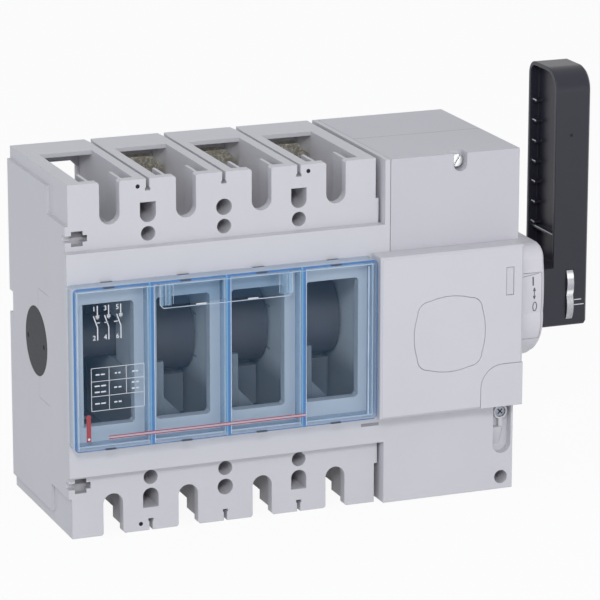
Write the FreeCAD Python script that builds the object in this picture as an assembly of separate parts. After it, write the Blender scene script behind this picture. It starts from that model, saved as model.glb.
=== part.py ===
import FreeCAD, Part
import math
import os

# Four-position switch disconnector with a side handle.
# Frame: X to the right, Y towards the rear, Z up, in millimetres.
# Origin: centre of the four fixing holes on the flat rear mounting plane.

os.makedirs("parts", exist_ok=True)

# Case
pole_count = 4
pole_pitch = 43.5
case_depth = 102.4
cover_depth = 31.0
end_margin = 1.8
side_panel = 1.75
base_panel_end = 7.0
cover_panel_end = 22.7
rear_notch_height = 12.6
rear_notch_low = 4.0
rear_notch_depth = 6.0

# Fixing pattern and case screws
fixing_inset = 19.6
fixing_hole_d = 6.5
fixing_grip = 30.0
recess_d = 9.0
recess_flat = 6.6
screw_row_inset = 30.35
screw_well_d = 8.1
screw_d = 4.0
screw_head_d = 7.4
screw_head_height = 4.0
screw_length = 26.0
screw_grip = 6.6
screw_clearance = 0.1
hidden_sides = 8
head_sides = 6

# Terminal chambers
chamber_width = 30.4
chamber_depth_z = 35.0
floor_wall = 8.0
front_wall = 6.0
slot_width = 11.4
slot_depth_z = 23.45
slot_lip = 1.0
guide_rib = 1.8
guide_rib_gap = 16.8
guide_rib_length = 20.0
guide_rib_drop = 1.0
roof_depth = 27.4
roof_thickness = 2.4
rear_wall = 4.0
opening_width = 27.8
opening_drop = 10.4
opening_chamfer = 3.5
groove_width = 1.9
groove_depth = 6.6
groove_foot_width = 3.0
groove_foot_height = 1.6
notch_width = 3.8
notch_depth = 20.0
notch_height = 13.0

# Contact chambers, rotor and contacts
contact_room_width = 33.0
contact_room_height = 112.0
contact_rear_wall = 8.0
contact_front_wall = 3.0
window_port_margin = 2.0
axis_share = 0.4746
axis_below_middle = 0.7
drum_share = 0.41
drum_end_gap = 1.1
neck_d = 24.0
bearing_clearance = 0.08
neck_room = 0.6
cap_clearance = 0.2
end_cap_half = 31.1
end_cap_reach = 4.8
blade_width = 24.0
blade_thickness = 6.0
blade_share = 0.607
blade_slot_gap = 0.2
contact_gap = 0.2
overlap_share = 0.137

# Terminals
terminal_width = 27.4
terminal_thickness = 7.0
terminal_front_from_rear = 26.4
terminal_end_drop = 6.4
terminal_chamfer = 6.3
terminal_hole_d = 11.0
terminal_hole_from_end = 20.0
terminal_bar = 6.0
terminal_finger = 5.4
terminal_bar_gap = 8.0
terminal_fit = 0.2

# Arc chutes
chute_plate = 1.2
chute_plates = 5
chute_cheek = 1.5
chute_height = 18.7
chute_fit = 0.3
chute_length = 42.0

# Clip slots in the left front corner
clip_slot_inset = 29.8
clip_slot_length = 12.5
clip_slot_half = 1.8
clip_cross_start = 3.6
clip_cross_end = 10.1
clip_cross_half = 4.1
clip_slot_depth = 5.0

# Front band and mechanism box
ledge_height = 36.5
band_proud = 6.0
band_overhang = 1.3
window_width = 31.0
window_rim = 28.3
window_shift = -4.55
window_corner = 1.4
strip_gap = 1.45
strip_thickness = 3.0
box_width = 79.1
box_foot_lift = 0.8
box_wall = 3.0
joint_below_plate = 0.1
cover_joint_gap = 0.3
aux_overhang = 1.6
aux_wall = 2.5
rear_plate = 4.0
rear_plate_fit = 0.3
corner_r = 2.0

# Clear window cover
glaze_rim = 17.1
glaze_middle = 0.6
glaze_proud = 11.5
glaze_wall = 2.0
glaze_corner_r = 2.5
glaze_edge = 1.0
divider_thickness = 1.5
plate_to_glaze = 1.2
pocket_width = 76.4
pocket_height = 15.0
pocket_wall = 1.2
pocket_from_left = 48.5
pocket_depth = 4.0
snap_width = 7.0
snap_height = 1.2
snap_depth = 2.0

# Mechanism front plate and its inserts
plate_proud = 13.0
plate_rim_top = 15.5
plate_rim_bottom = 17.1
plate_right_inset = 0.5
plate_wall = 2.5
plate_edge = 1.3
pad_width = 42.8
pad_height = 43.2
pad_left = 20.0
pad_drop = 0.8
pad_bow = 2.0
pad_corner_r = 7.0
insert_gap = 0.25
lens_width = 4.2
lens_height = 15.6
lens_from_right = 8.4
lens_drop = 20.2
lens_step = 0.2
lens_stem_width = 2.4
lens_stem_height = 10.0
cap_width = 25.3
cap_height = 24.6
cap_corner_r = 13.0

# Screw slot and hole in the lower front of the box
well_width = 10.8
well_right_wall = 1.3
well_depth = 5.0
well_lift = 21.8
well_overlap = 3.4
well_screw_drop = 8.0
well_ring_d = 8.4
well_ring_wall = 1.1
well_neck_width = 2.4
well_wedge_drop = 8.6
well_wedge_width = 6.0
low_hole_d = 7.8
low_hole_from_right = 7.0
low_hole_lift = 7.7
low_hole_depth = 20.0
sleeve_wall = 1.5
shaft_room = 1.0

# Screw of the auxiliary cover
aux_screw_inset = 41.9
aux_screw_drop = 5.1
aux_notch_width = 8.0
aux_notch_depth = 8.0
aux_notch_drop = 10.2
aux_screw_head_d = 7.0
aux_screw_head = 3.0
aux_screw_length = 12.0
aux_screw_slot = 1.0
aux_screw_turn = 55.0
fixing_screw_head = 2.2
fixing_screw_length = 8.0
post_width = 10.0
post_depth = 13.0

# Side cap on the left end of the rotor
cap_disc_d = 39.0
cap_disc_depth = 2.5
cap_disc_fit = 0.15

# Hub on the right side
hub_length = 30.1
hub_r = 36.5
hub_top = 35.6
hub_front = 34.6
hub_corner_r = 9.0
hub_bow = 1.4
hub_edge = 1.6
label_left = 12.0
label_low = -19.5
label_high = 19.8
label_recess = 0.6
label_film = 0.5
label_right_margin = 2.2

# Handle and its shaft
shaft_d = 14.0
shaft_square = 10.0
shaft_square_length = 12.0
shaft_insertion = 18.4
hub_to_handle = 0.4
boss_length = 12.9
lever_thickness = 21.7
lever_width = 37.2
lever_top = 131.4
lever_front_offset = 18.8
lever_front_r = 13.0
lever_rear_r = 8.0
lever_low = 18.8
lever_boss_high = 16.4
lever_edge = 1.4
lever_foot_r = 2.4
lever_wall = 2.2
lever_recess = 5.5
lever_rib_count = 7
lever_rib_pitch = 12.0
lever_rib_first = 35.9
lever_rib = 1.5
lever_rib_length = 5.0
lever_cross_rib_z = 33.9

# Padlock tab in the handle
tab_thickness = 4.1
tab_height = 29.0
tab_left = 8.3
tab_depth = 27.0
tab_bulge = 2.0
tab_pinch = 0.8
tab_fit = 0.25
tab_hole_length = 18.0
tab_hole_width = 8.0
tab_hole_r = 3.5
tab_hole_from_front = 9.4

# Tongue and slot coupling between rotor and handle shaft
jaw_inset = 1.5
jaw_side = 26.0
jaw_back = 5.0
jaw_length = 6.0
jaw_tongue = 9.0
jaw_gap = 0.3
jaw_tang = 12.0
jaw_tang_length = 14.0
drive_fit = 0.2
frame_inset = 35.0
frame_plate = 3.0
frame_width = 60.0
frame_foot = 24.0
spring_gap = 0.4
spring_width = 14.0
spring_reach = 24.0
spring_foot = 8.0
spring_leaf = 1.2

# Derived places
room_half = contact_room_height / 2
chamber_floor = room_half + floor_wall
half_height = chamber_floor + chamber_depth_z
face_y = -case_depth
joint_y = face_y + cover_depth
band_y = face_y - band_proud
glaze_y = band_y - glaze_proud
plate_y = band_y - plate_proud
axis_y = -case_depth * axis_share
axis_z = -axis_below_middle
block_half = pole_count * pole_pitch / 2 + end_margin
case_half = block_half + side_panel
first_pole = -(pole_count - 1) / 2 * pole_pitch
pole_x = [first_pole + k * pole_pitch for k in range(pole_count)]
live_poles = pole_x[1:]
wall_x = [(a + b) / 2 for a, b in zip(pole_x[:-1], pole_x[1:])]
window_x = [x + window_shift for x in pole_x]
slot_end = half_height - slot_depth_z
fixing_z = half_height - fixing_inset
screw_row_z = half_height - screw_row_inset
blade_length = contact_room_height * blade_share
drum_d = contact_room_height * drum_share
contact_overlap = blade_length * overlap_share
bar_outer = room_half - terminal_bar_gap
chute_top = room_half - chute_fit
band_left = -case_half - band_overhang
strip_x = case_half + strip_gap
box_left = strip_x + strip_thickness
box_right = strip_x + box_width
box_foot = -half_height + box_foot_lift
band_half = half_height - ledge_height
window_height = 2 * (band_half - window_rim)
glaze_height = 2 * (band_half - glaze_rim)
plate_top = band_half - plate_rim_top
plate_bottom = -band_half + plate_rim_bottom
plate_middle = (plate_top + plate_bottom) / 2
cover_joint_z = plate_top - joint_below_plate
pad_middle = plate_middle - pad_drop
lens_middle = plate_top - lens_drop
well_bottom = -half_height + well_lift
well_top = plate_bottom + well_overlap
well_screw_z = plate_bottom - well_screw_drop
well_wedge_top = well_screw_z - well_wedge_drop
low_hole_z = -half_height + low_hole_lift
glaze_low = glaze_middle - glaze_height / 2
glaze_high = glaze_middle + glaze_height / 2
glaze_pitch = pole_pitch + 0.3
glaze_right = band_left + pole_count * glaze_pitch
plate_left = glaze_right + plate_to_glaze
plate_right = box_right - plate_right_inset
hub_end = box_right + hub_length
handle_x = hub_end + hub_to_handle
jaw_start = box_left + jaw_inset
shaft_start = jaw_start + jaw_back + jaw_length + jaw_gap
frame_plate_x = box_left + frame_inset
aux_screw_x = box_left + aux_screw_inset
lever_x = handle_x + boss_length
lever_front = axis_y - lever_front_offset
lever_rear = lever_front + lever_width
far = 400.0


def span(a, b):
    return min(a, b), max(a, b)


def box(x, y, z):
    (x0, x1), (y0, y1), (z0, z1) = span(*x), span(*y), span(*z)
    return Part.makeBox(x1 - x0, y1 - y0, z1 - z0, FreeCAD.Vector(x0, y0, z0))


def centred_block(start, end, half_y, half_z):
    """Block along X, centred on the rotor axis."""
    return box((start, end), (axis_y - half_y, axis_y + half_y), (axis_z - half_z, axis_z + half_z))


def rod(axis, radius, start, end, a, b):
    """Cylinder along an axis; a and b are its place on the other two axes in X, Y, Z order."""
    low, high = span(start, end)
    place = {"X": (low, a, b), "Y": (a, low, b), "Z": (a, b, low)}[axis]
    along = {"X": (1, 0, 0), "Y": (0, 1, 0), "Z": (0, 0, 1)}[axis]
    return Part.makeCylinder(radius, high - low, FreeCAD.Vector(*place), FreeCAD.Vector(*along))


def outline(axis, at, steps):
    """Closed face square to an axis. A step is a point, or (through, point) for an arc."""
    def place(p):
        a, b = p
        return FreeCAD.Vector(*{"X": (at, a, b), "Y": (a, at, b), "Z": (a, b, at)}[axis])
    edges = []
    here = steps[0]
    for step in list(steps[1:]) + [steps[0]]:
        if isinstance(step[0], tuple):
            edges.append(Part.Arc(place(here), place(step[0]), place(step[1])).toShape())
            here = step[1]
        elif step != here:
            edges.append(Part.LineSegment(place(here), place(step)).toShape())
            here = step
    return Part.Face(Part.Wire(edges))


def prism(axis, start, end, steps):
    low, high = span(start, end)
    along = {"X": (1, 0, 0), "Y": (0, 1, 0), "Z": (0, 0, 1)}[axis]
    return outline(axis, low, steps).extrude(FreeCAD.Vector(*along) * (high - low))


def taper(axis, start, end, steps, end_steps):
    """Ruled solid between two outlines with the same steps, for an edge that narrows."""
    wires = [outline(axis, start, steps).OuterWire, outline(axis, end, end_steps).OuterWire]
    return Part.makeLoft(wires, True, True)


def arc_point(centre, radius, degrees):
    turn = math.radians(degrees)
    return centre[0] + radius * math.cos(turn), centre[1] + radius * math.sin(turn)


def rounded(a, b, r):
    """Steps of a rectangle with four round corners."""
    (a0, a1), (b0, b1) = span(*a), span(*b)
    corners = [((a1 - r, b0 + r), 270), ((a1 - r, b1 - r), 0), ((a0 + r, b1 - r), 90), ((a0 + r, b0 + r), 180)]
    steps = []
    for centre, start in corners:
        first, middle, last = [arc_point(centre, r, start + d) for d in (0, 45, 90)]
        steps += [first, (middle, last)]
    return steps


def cut(body, *tools):
    return body.cut(Part.makeCompound(list(tools)))


def join(first, *others):
    return first.fuse(list(others)).removeSplitter()


def save(name, shape):
    shape.exportStep("parts/" + name + ".step")


def hole_rows(radius, start, end, half_spacing, columns):
    return [rod("Y", radius, start, end, x, side * half_spacing) for x in columns for side in (1, -1)]


def plain_shank(radius, start, end, x, z, sides=hidden_sides):
    """Hidden screw shank, or the hole for one, with few faces."""
    corners = [arc_point((x, z), radius, 360 / sides * k) for k in range(sides)]
    return prism("Y", start, end, corners)


def shank_rows(radius, start, end):
    return [plain_shank(radius, start, end, x, side * screw_row_z) for x in wall_x for side in (1, -1)]


def fixing_columns():
    return [wall_x[0], wall_x[-1]]


def fixing_recess(x, side, start, end):
    """Well for a fixing screw's head: round towards the middle and flat towards the end."""
    r = recess_d / 2
    middle = side * fixing_z
    steps = [(x + r, middle), ((x, middle - side * r), (x - r, middle)),
             (x - r, middle + side * recess_flat), (x + r, middle + side * recess_flat)]
    return prism("Y", start, end, steps)


def barrier_grooves(start, end):
    """T-shaped grooves between the poles for the insulating barriers, at both ends."""
    tools = []
    for x in wall_x:
        for side in (1, -1):
            top = side * half_height
            foot = side * (half_height - groove_depth)
            lip = side * (half_height - groove_depth + groove_foot_height)
            tools.append(box((x - groove_width / 2, x + groove_width / 2), (start, end), (foot, top)))
            tools.append(box((x - groove_foot_width / 2, x + groove_foot_width / 2), (start, end), (foot, lip)))
    return tools


def chamfered_opening(x, side, low, high, half_width, chamfer, start, end):
    steps = [(x - half_width, side * low), (x - half_width, side * (high - chamfer)),
             (x - half_width + chamfer, side * high), (x + half_width - chamfer, side * high),
             (x + half_width, side * (high - chamfer)), (x + half_width, side * low)]
    return prism("Y", start, end, steps)


def base_housing():
    body = join(box((-block_half, block_half), (joint_y, 0), (-half_height, half_height)),
                box((-case_half, case_half), (joint_y, 0),
                    (-half_height + base_panel_end, half_height - base_panel_end)))
    tools = barrier_grooves(joint_y, 0)
    for x in pole_x:
        for side in (1, -1):
            left, right = x - chamber_width / 2, x + chamber_width / 2
            tools.append(box((left, right), (joint_y, -roof_depth), (side * chamber_floor, side * half_height)))
            tools.append(box((left, right), (-roof_depth, -rear_wall),
                             (side * chamber_floor, side * (half_height - roof_thickness))))
            tools.append(chamfered_opening(x, side, chamber_floor, half_height - opening_drop,
                                           opening_width / 2, opening_chamfer, -rear_wall, 0))
            slot_half = terminal_width / 2 + terminal_fit
            rear = -terminal_front_from_rear + terminal_thickness + terminal_fit
            tools.append(box((x - slot_half, x + slot_half), (-terminal_front_from_rear - terminal_fit, rear),
                             (side * room_half, side * chamber_floor)))
        room = contact_room_width / 2
        tools.append(box((x - room, x + room), (joint_y, -contact_rear_wall), (-room_half, room_half)))
    for x in fixing_columns():
        for side in (1, -1):
            tools.append(fixing_recess(x, side, joint_y, -fixing_grip))
    tools += hole_rows(fixing_hole_d / 2, -fixing_grip, 0, fixing_z, fixing_columns())
    tools += shank_rows(screw_d / 2 + screw_clearance, joint_y, joint_y + screw_length - screw_grip + 1)
    for x in wall_x:
        for side in (1, -1):
            steps = [(x - notch_width / 2, 0), (x, -notch_depth), (x + notch_width / 2, 0)]
            tools.append(prism("Z", side * (half_height - notch_height), side * half_height, steps))
    for side in (1, -1):
        edge = side * case_half
        tools.append(box((edge - side * 2 * side_panel, edge), (-rear_notch_depth, 0),
                         (rear_notch_low, rear_notch_low + rear_notch_height)))
    bearing = neck_d / 2 + bearing_clearance
    bore = rod("X", bearing, -case_half, case_half, axis_y, axis_z)
    throat = box((-case_half, case_half), (joint_y, axis_y), (axis_z - bearing, axis_z + bearing))
    inner = pole_x[-1] + contact_room_width / 2
    room = bearing + neck_room
    passage = box((-inner, inner), (joint_y, axis_y + room), (axis_z - room, axis_z + room))
    half = end_cap_half + cap_clearance
    rear = axis_y - end_cap_reach + cap_clearance
    seats = [box(place, (joint_y, rear), (axis_z - half, axis_z + half))
             for place in ((-case_half, -inner), (inner, case_half))]
    return cut(body, bore, throat, passage, disc_seat(), *(tools + seats))


def disc_seat():
    return rod("X", cap_disc_d / 2 + cap_disc_fit, -case_half, -case_half + cap_disc_depth, axis_y, axis_z)


def clip_slots():
    """Cross-shaped clip slots that open round the left front corner."""
    tools = []
    left = -case_half
    places = [(0, clip_slot_length, clip_slot_half), (clip_cross_start, clip_cross_end, clip_cross_half)]
    for side in (1, -1):
        middle = side * (half_height - clip_slot_inset)
        for start, end, half in places:
            tools.append(box((left + start, left + end), (face_y, face_y + clip_slot_depth),
                             (middle - half, middle + half)))
    return tools


def conductor_slot(x, side):
    """U-shaped slot in the front wall of a terminal chamber, with chamfered lips."""
    r = slot_width / 2
    round_z = slot_end + r
    lip = half_height - slot_lip
    flare = r + slot_lip
    steps = [(x - r, side * lip), (x - r, side * round_z), ((x, side * slot_end), (x + r, side * round_z)),
             (x + r, side * lip), (x + flare, side * half_height), (x - flare, side * half_height)]
    return prism("Y", face_y, face_y + front_wall, steps)


def guide_ribs(x, side):
    ribs = []
    for hand in (1, -1):
        inner = x + hand * guide_rib_gap / 2
        ribs.append(box((inner, inner + hand * guide_rib), (face_y + front_wall - 0.5,
                        face_y + front_wall + guide_rib_length),
                        (side * (chamber_floor - 0.5), side * (half_height - guide_rib_drop))))
    return ribs


def bearing_caps():
    """Tongues of the cover that close the rotor bearings in the walls of the base."""
    wall = (pole_pitch - contact_room_width) / 2 - cap_clearance
    half = neck_d / 2 - cap_clearance / 2
    flat_end = axis_y - neck_d / 2 - cap_clearance
    tongues = [box((x - wall, x + wall), (joint_y - 1, flat_end), (axis_z - half, axis_z + half)) for x in wall_x]
    inner = pole_x[-1] + contact_room_width / 2
    tongues += [box(place, (joint_y - 1, axis_y - end_cap_reach), (axis_z - end_cap_half, axis_z + end_cap_half))
                for place in ((-case_half, -inner), (inner, case_half))]
    round_end = rod("X", neck_d / 2 + cap_clearance, -case_half, case_half, axis_y, axis_z)
    return [cut(tongue, round_end, disc_seat()) for tongue in tongues]


def pole_cover():
    body = join(box((-block_half, block_half), (face_y, joint_y), (-half_height, half_height)),
                box((-case_half, case_half), (face_y, joint_y),
                    (-half_height + cover_panel_end, half_height - cover_panel_end)))
    tools = barrier_grooves(face_y, joint_y) + clip_slots() + [disc_seat()]
    ribs = []
    for x in pole_x:
        for side in (1, -1):
            half = chamber_width / 2
            tools.append(box((x - half, x + half), (face_y + front_wall, joint_y),
                             (side * chamber_floor, side * half_height)))
            tools.append(conductor_slot(x, side))
            ribs += guide_ribs(x, side)
        room = contact_room_width / 2
        tools.append(box((x - room, x + room), (face_y + contact_front_wall, joint_y), (-room_half, room_half)))
    for x in window_x:
        half_w = window_width / 2 + window_port_margin
        half_h = window_height / 2 + window_port_margin
        tools.append(box((x - half_w, x + half_w), (face_y, face_y + contact_front_wall), (-half_h, half_h)))
    for x in fixing_columns():
        for side in (1, -1):
            tools.append(fixing_recess(x, side, face_y, joint_y))
    tools += [rod("Y", recess_d / 2, face_y, joint_y, 0, side * fixing_z) for side in (1, -1)]
    seat = joint_y - screw_grip
    tools += hole_rows(screw_well_d / 2, face_y, seat, screw_row_z, wall_x)
    tools += shank_rows(screw_d / 2 + screw_clearance, seat, joint_y)
    return join(cut(body, *tools), *(ribs + bearing_caps()))


def window_ports(start, end):
    ports = []
    half_h = window_height / 2
    c = window_corner
    for x in window_x:
        left, right = x - window_width / 2, x + window_width / 2
        steps = []
        for side in (1, -1):
            low, high = (left, right) if side > 0 else (right, left)
            steps += [(low, side * (half_h - c)), (low + side * c, side * half_h),
                      (high - side * c, side * half_h), (high, side * (half_h - c))]
        ports.append(prism("Y", start, end, steps))
    return ports


def screw_well():
    """Recess with a screw ring, a neck and a ramp, in the lower front of the box."""
    right = box_right - well_right_wall
    left = right - well_width
    r = well_width / 2
    x = (left + right) / 2
    steps = [(left, well_top), (right, well_top), (right, well_bottom + r), ((x, well_bottom), (left, well_bottom + r))]
    return prism("Y", band_y, band_y + well_depth, steps), x


def well_details(x):
    floor = band_y + well_depth
    ring = rod("Y", well_ring_d / 2, floor - 3, floor + 0.5, x, well_screw_z)
    inner = rod("Y", well_ring_d / 2 - well_ring_wall, floor - 3, floor + 0.5, x, well_screw_z)
    neck = box((x - well_neck_width / 2, x + well_neck_width / 2), (floor - 3, floor + 0.5),
               (well_wedge_top, well_screw_z - well_ring_d / 2 + 0.3))
    left = box_right - well_right_wall - well_width
    ramp = prism("X", left, left + well_wedge_width,
                 [(floor + 0.5, well_wedge_top), (floor - 4, well_wedge_top), (floor + 0.5, well_bottom + 3)])
    return [ring.cut(inner), neck, ramp]


def mechanism_housing():
    top = cover_joint_z - cover_joint_gap
    shell = cut(box((strip_x, box_right), (band_y, 0), (box_foot, top)),
                box((box_left, box_right - box_wall), (band_y + box_wall, 0), (box_foot + box_wall, top - box_wall)))
    strip = box((strip_x, box_left), (band_y, 0), (top - box_wall, half_height))
    band = box((band_left, strip_x + 1), (band_y, face_y), (-band_half, band_half))
    well, well_x = screw_well()
    pad = box((well_x - well_width / 2 - 1, box_right - 0.5),
              (band_y + 0.5, band_y + well_depth + 2), (well_bottom - 1, well_top))
    hole_x = box_right - low_hole_from_right
    half = low_hole_d / 2 + sleeve_wall
    sleeve = box((hole_x - half, hole_x + half), (band_y + box_wall / 2, band_y + low_hole_depth),
                 (low_hole_z - half, low_hole_z + half))
    post_z = half_height - aux_wall - cover_joint_gap
    post_y = band_y + aux_notch_depth + aux_wall + cover_joint_gap
    post = box((aux_screw_x - post_width / 2, aux_screw_x + post_width / 2), (post_y, post_y + post_depth),
               (top - 1, post_z))
    body = join(shell, strip, band, pad, sleeve, post)
    tools = window_ports(band_y, face_y)
    tools.append(well)
    tools.append(rod("Y", low_hole_d / 2, band_y, band_y + low_hole_depth - sleeve_wall, hole_x, low_hole_z))
    tools.append(centred_block(strip_x, box_left, neck_d / 2 + shaft_room, neck_d / 2 + shaft_room))
    tools.append(centred_block(box_right - box_wall, box_right, shaft_d / 2 + shaft_room, shaft_d / 2 + shaft_room))
    tools.append(plain_shank(screw_d / 2 + screw_clearance, post_y, post_y + post_depth,
                             aux_screw_x, half_height - aux_screw_drop))
    body = join(cut(body, *tools), *well_details(well_x))
    core = plain_shank(screw_d / 2 + screw_clearance, band_y, band_y + well_depth + fixing_screw_length,
                       well_x, well_screw_z)
    return body.cut(core)


def mechanism_base():
    """Rear plate that closes the mechanism box."""
    fit = rear_plate_fit
    top = cover_joint_z - cover_joint_gap - box_wall - fit
    return box((box_left + fit, box_right - box_wall - fit), (-rear_plate, 0), (box_foot + box_wall + fit, top))


def auxiliary_cover():
    right = box_right + aux_overhang
    left = box_left + cover_joint_gap
    body = cut(box((left, right), (band_y, 0), (cover_joint_z, half_height)),
               box((left + aux_wall, right - aux_wall), (band_y + aux_wall, 0),
                   (cover_joint_z, half_height - aux_wall)))
    x = aux_screw_x
    floor = band_y + aux_notch_depth
    pocket = box((x - aux_notch_width / 2 - aux_wall, x + aux_notch_width / 2 + aux_wall), (band_y + 1, floor + aux_wall),
                 (half_height - aux_notch_drop - aux_wall, half_height - 0.5))
    r = aux_notch_width / 2
    low = half_height - aux_notch_drop
    steps = [(x - r, half_height), (x - r, low + r), ((x, low), (x + r, low + r)), (x + r, half_height)]
    notch = prism("Y", band_y, floor, steps)
    hole = plain_shank(screw_d / 2 + screw_clearance, floor, floor + aux_wall, x, half_height - aux_screw_drop)
    return cut(join(body, pocket), notch, hole)


def pad_steps(grow):
    """Rounded square with slightly bowed sides."""
    left = plate_left + pad_left - grow
    right = plate_left + pad_left + pad_width + grow
    low = pad_middle - pad_height / 2 - grow
    high = pad_middle + pad_height / 2 + grow
    x, z = (left + right) / 2, (low + high) / 2
    r = pad_corner_r + grow
    bow = pad_bow
    q = r * (1 - math.sqrt(0.5))
    return [(left + bow + r, low + bow), ((x, low), (right - bow - r, low + bow)),
            ((right - bow - q, low + bow + q), (right - bow, low + bow + r)), ((right, z), (right - bow, high - bow - r)),
            ((right - bow - q, high - bow - q), (right - bow - r, high - bow)), ((x, high), (left + bow + r, high - bow)),
            ((left + bow + q, high - bow - q), (left + bow, high - bow - r)), ((left, z), (left + bow, low + bow + r)),
            ((left + bow + q, low + bow + q), (left + bow + r, low + bow))]


def cap_steps(inset):
    """Outline of the cap in the plate's lower right corner."""
    left = plate_right - cap_width + inset
    top = plate_bottom + cap_height - inset
    r = cap_corner_r - inset
    q = r * (1 - math.sqrt(0.5))
    right = plate_right - inset if inset > insert_gap else plate_right
    low = plate_bottom + inset if inset > insert_gap else plate_bottom
    return [(left, low), (right, low), (right, top), (left + r, top), ((left + q, top - q), (left, top - r))]


def lens_place(grow):
    x = plate_right - lens_from_right
    half_w = lens_width / 2 + grow
    half_h = lens_height / 2 + grow
    return (x - half_w, x + half_w), (lens_middle - half_h, lens_middle + half_h)


def front_edges(shape, y):
    return [e for e in shape.Edges if e.BoundBox.YMin > y - 0.01 and e.BoundBox.YMax < y + 0.01]


def front_plate():
    body = box((plate_left, plate_right), (plate_y, band_y), (plate_bottom, plate_top))
    body = body.makeChamfer(plate_edge, front_edges(body, plate_y))
    inner = box((plate_left + plate_wall, plate_right - plate_wall), (plate_y + plate_wall, band_y),
                (plate_bottom + plate_wall, plate_top - plate_wall))
    pad = prism("Y", plate_y, band_y, pad_steps(insert_gap))
    cap = prism("Y", plate_y, band_y, cap_steps(-insert_gap))
    lens_x, lens_z = lens_place(insert_gap)
    return cut(body, inner, pad, cap, box(lens_x, (plate_y, plate_y + plate_wall), lens_z))


def plate_pad():
    """Snap-in pad of the plate, with a spigot that stands on the box."""
    face = prism("Y", plate_y, plate_y + plate_wall, pad_steps(0))
    x = plate_left + pad_left + pad_width / 2
    half = pad_width / 4
    spigot = box((x - half, x + half), (plate_y + plate_wall, band_y), (pad_middle - half, pad_middle + half))
    return join(face, spigot)


def indicator_lens():
    lens_x, lens_z = lens_place(0)
    x = plate_right - lens_from_right
    half_w, half_h = lens_stem_width / 2, lens_stem_height / 2
    stem = box((x - half_w, x + half_w), (plate_y + plate_wall, band_y), (lens_middle - half_h, lens_middle + half_h))
    return join(box(lens_x, (plate_y + lens_step, plate_y + plate_wall), lens_z), stem)


def corner_cap():
    body = prism("Y", plate_y, band_y, cap_steps(0))
    inner = prism("Y", plate_y + plate_wall, band_y, cap_steps(plate_wall))
    return body.cut(inner)


def window_cover():
    """Clear moulded cover over the four contact windows."""
    left, right = band_left, glaze_right
    body = prism("Y", glaze_y, band_y, rounded((left, right), (glaze_low, glaze_high), glaze_corner_r))
    body = body.makeChamfer(glaze_edge, front_edges(body, glaze_y))
    wall = glaze_wall
    inner = prism("Y", glaze_y + wall, band_y,
                  rounded((left + wall, right - wall), (glaze_low + wall, glaze_high - wall), glaze_corner_r - wall))
    body = body.cut(inner)
    dividers = []
    for k in range(1, pole_count):
        x = left + k * glaze_pitch
        dividers.append(box((x - divider_thickness / 2, x + divider_thickness / 2), (glaze_y + 1, band_y),
                            (glaze_low + 1, glaze_high - 1)))
    x0 = left + pocket_from_left
    x1 = x0 + pocket_width
    low = glaze_high - pocket_height
    back = glaze_y + wall + pocket_depth
    pocket = [box((x0, x1), (glaze_y + 1, back), (low, low + pocket_wall)),
              box((x0, x0 + pocket_wall), (glaze_y + 1, back), (low, glaze_high - 1)),
              box((x1 - pocket_wall, x1), (glaze_y + 1, back), (low, glaze_high - 1)),
              box((x0, x1), (back - pocket_wall, back), (low, glaze_high - 1))]
    snaps = []
    for x in window_x:
        snaps.append(box((x - snap_width / 2, x + snap_width / 2), (band_y - snap_depth, band_y),
                         (glaze_high - snap_height, glaze_high)))
        snaps.append(box((x - snap_width / 2, x + snap_width / 2), (band_y - snap_depth, band_y),
                         (glaze_low, glaze_low + snap_height)))
    return cut(join(body, *(dividers + pocket)), *snaps)


def side_cap():
    return rod("X", cap_disc_d / 2, -case_half, -case_half + cap_disc_depth, axis_y, axis_z)


def hub_steps(inset):
    """Outline of the hub: square shoulders on top and a round bottom."""
    r = hub_r - inset
    corner = hub_corner_r - inset
    top = axis_z + hub_top - inset
    half = hub_front - inset
    q = corner * (1 - math.sqrt(0.5))
    swell = half + hub_bow
    shoulder = top - corner
    middle = (shoulder + axis_z) / 2
    bottom_y = r * math.sin(math.radians(35))
    bottom_z = axis_z - r * math.cos(math.radians(35))
    flank = (swell + half) / 2
    low_z = axis_z - 0.45 * r
    return [(axis_y - half, shoulder), ((axis_y - swell, middle), (axis_y - flank, axis_z - 0.1 * r)),
            ((axis_y - 0.93 * r, low_z), (axis_y - bottom_y, bottom_z)),
            ((axis_y, axis_z - r), (axis_y + bottom_y, bottom_z)),
            ((axis_y + 0.93 * r, low_z), (axis_y + flank, axis_z - 0.1 * r)),
            ((axis_y + swell, middle), (axis_y + half, shoulder)),
            ((axis_y + half - q, top - q), (axis_y + half - corner, top)), (axis_y - half + corner, top),
            ((axis_y - half + q, top - q), (axis_y - half, shoulder))]


def label_window(grow):
    return box((box_right + label_left - grow, hub_end - label_right_margin + grow), (axis_y - far, axis_y),
               (axis_z + label_low - grow, axis_z + label_high + grow))


def hub_skin(depth):
    core = prism("X", box_right - 1, hub_end + 1, hub_steps(depth))
    return prism("X", box_right, hub_end, hub_steps(0)).cut(core)


def hub_boss():
    shoulder = hub_end - hub_edge
    body = join(prism("X", box_right, shoulder, hub_steps(0)),
                taper("X", shoulder, hub_end, hub_steps(0), hub_steps(hub_edge)))
    bore = rod("X", shaft_d / 2 + bearing_clearance, box_right, hub_end, axis_y, axis_z)
    return cut(body, hub_skin(label_recess).common(label_window(insert_gap)), bore)


def hub_label():
    return hub_skin(label_film).common(label_window(0))


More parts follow.
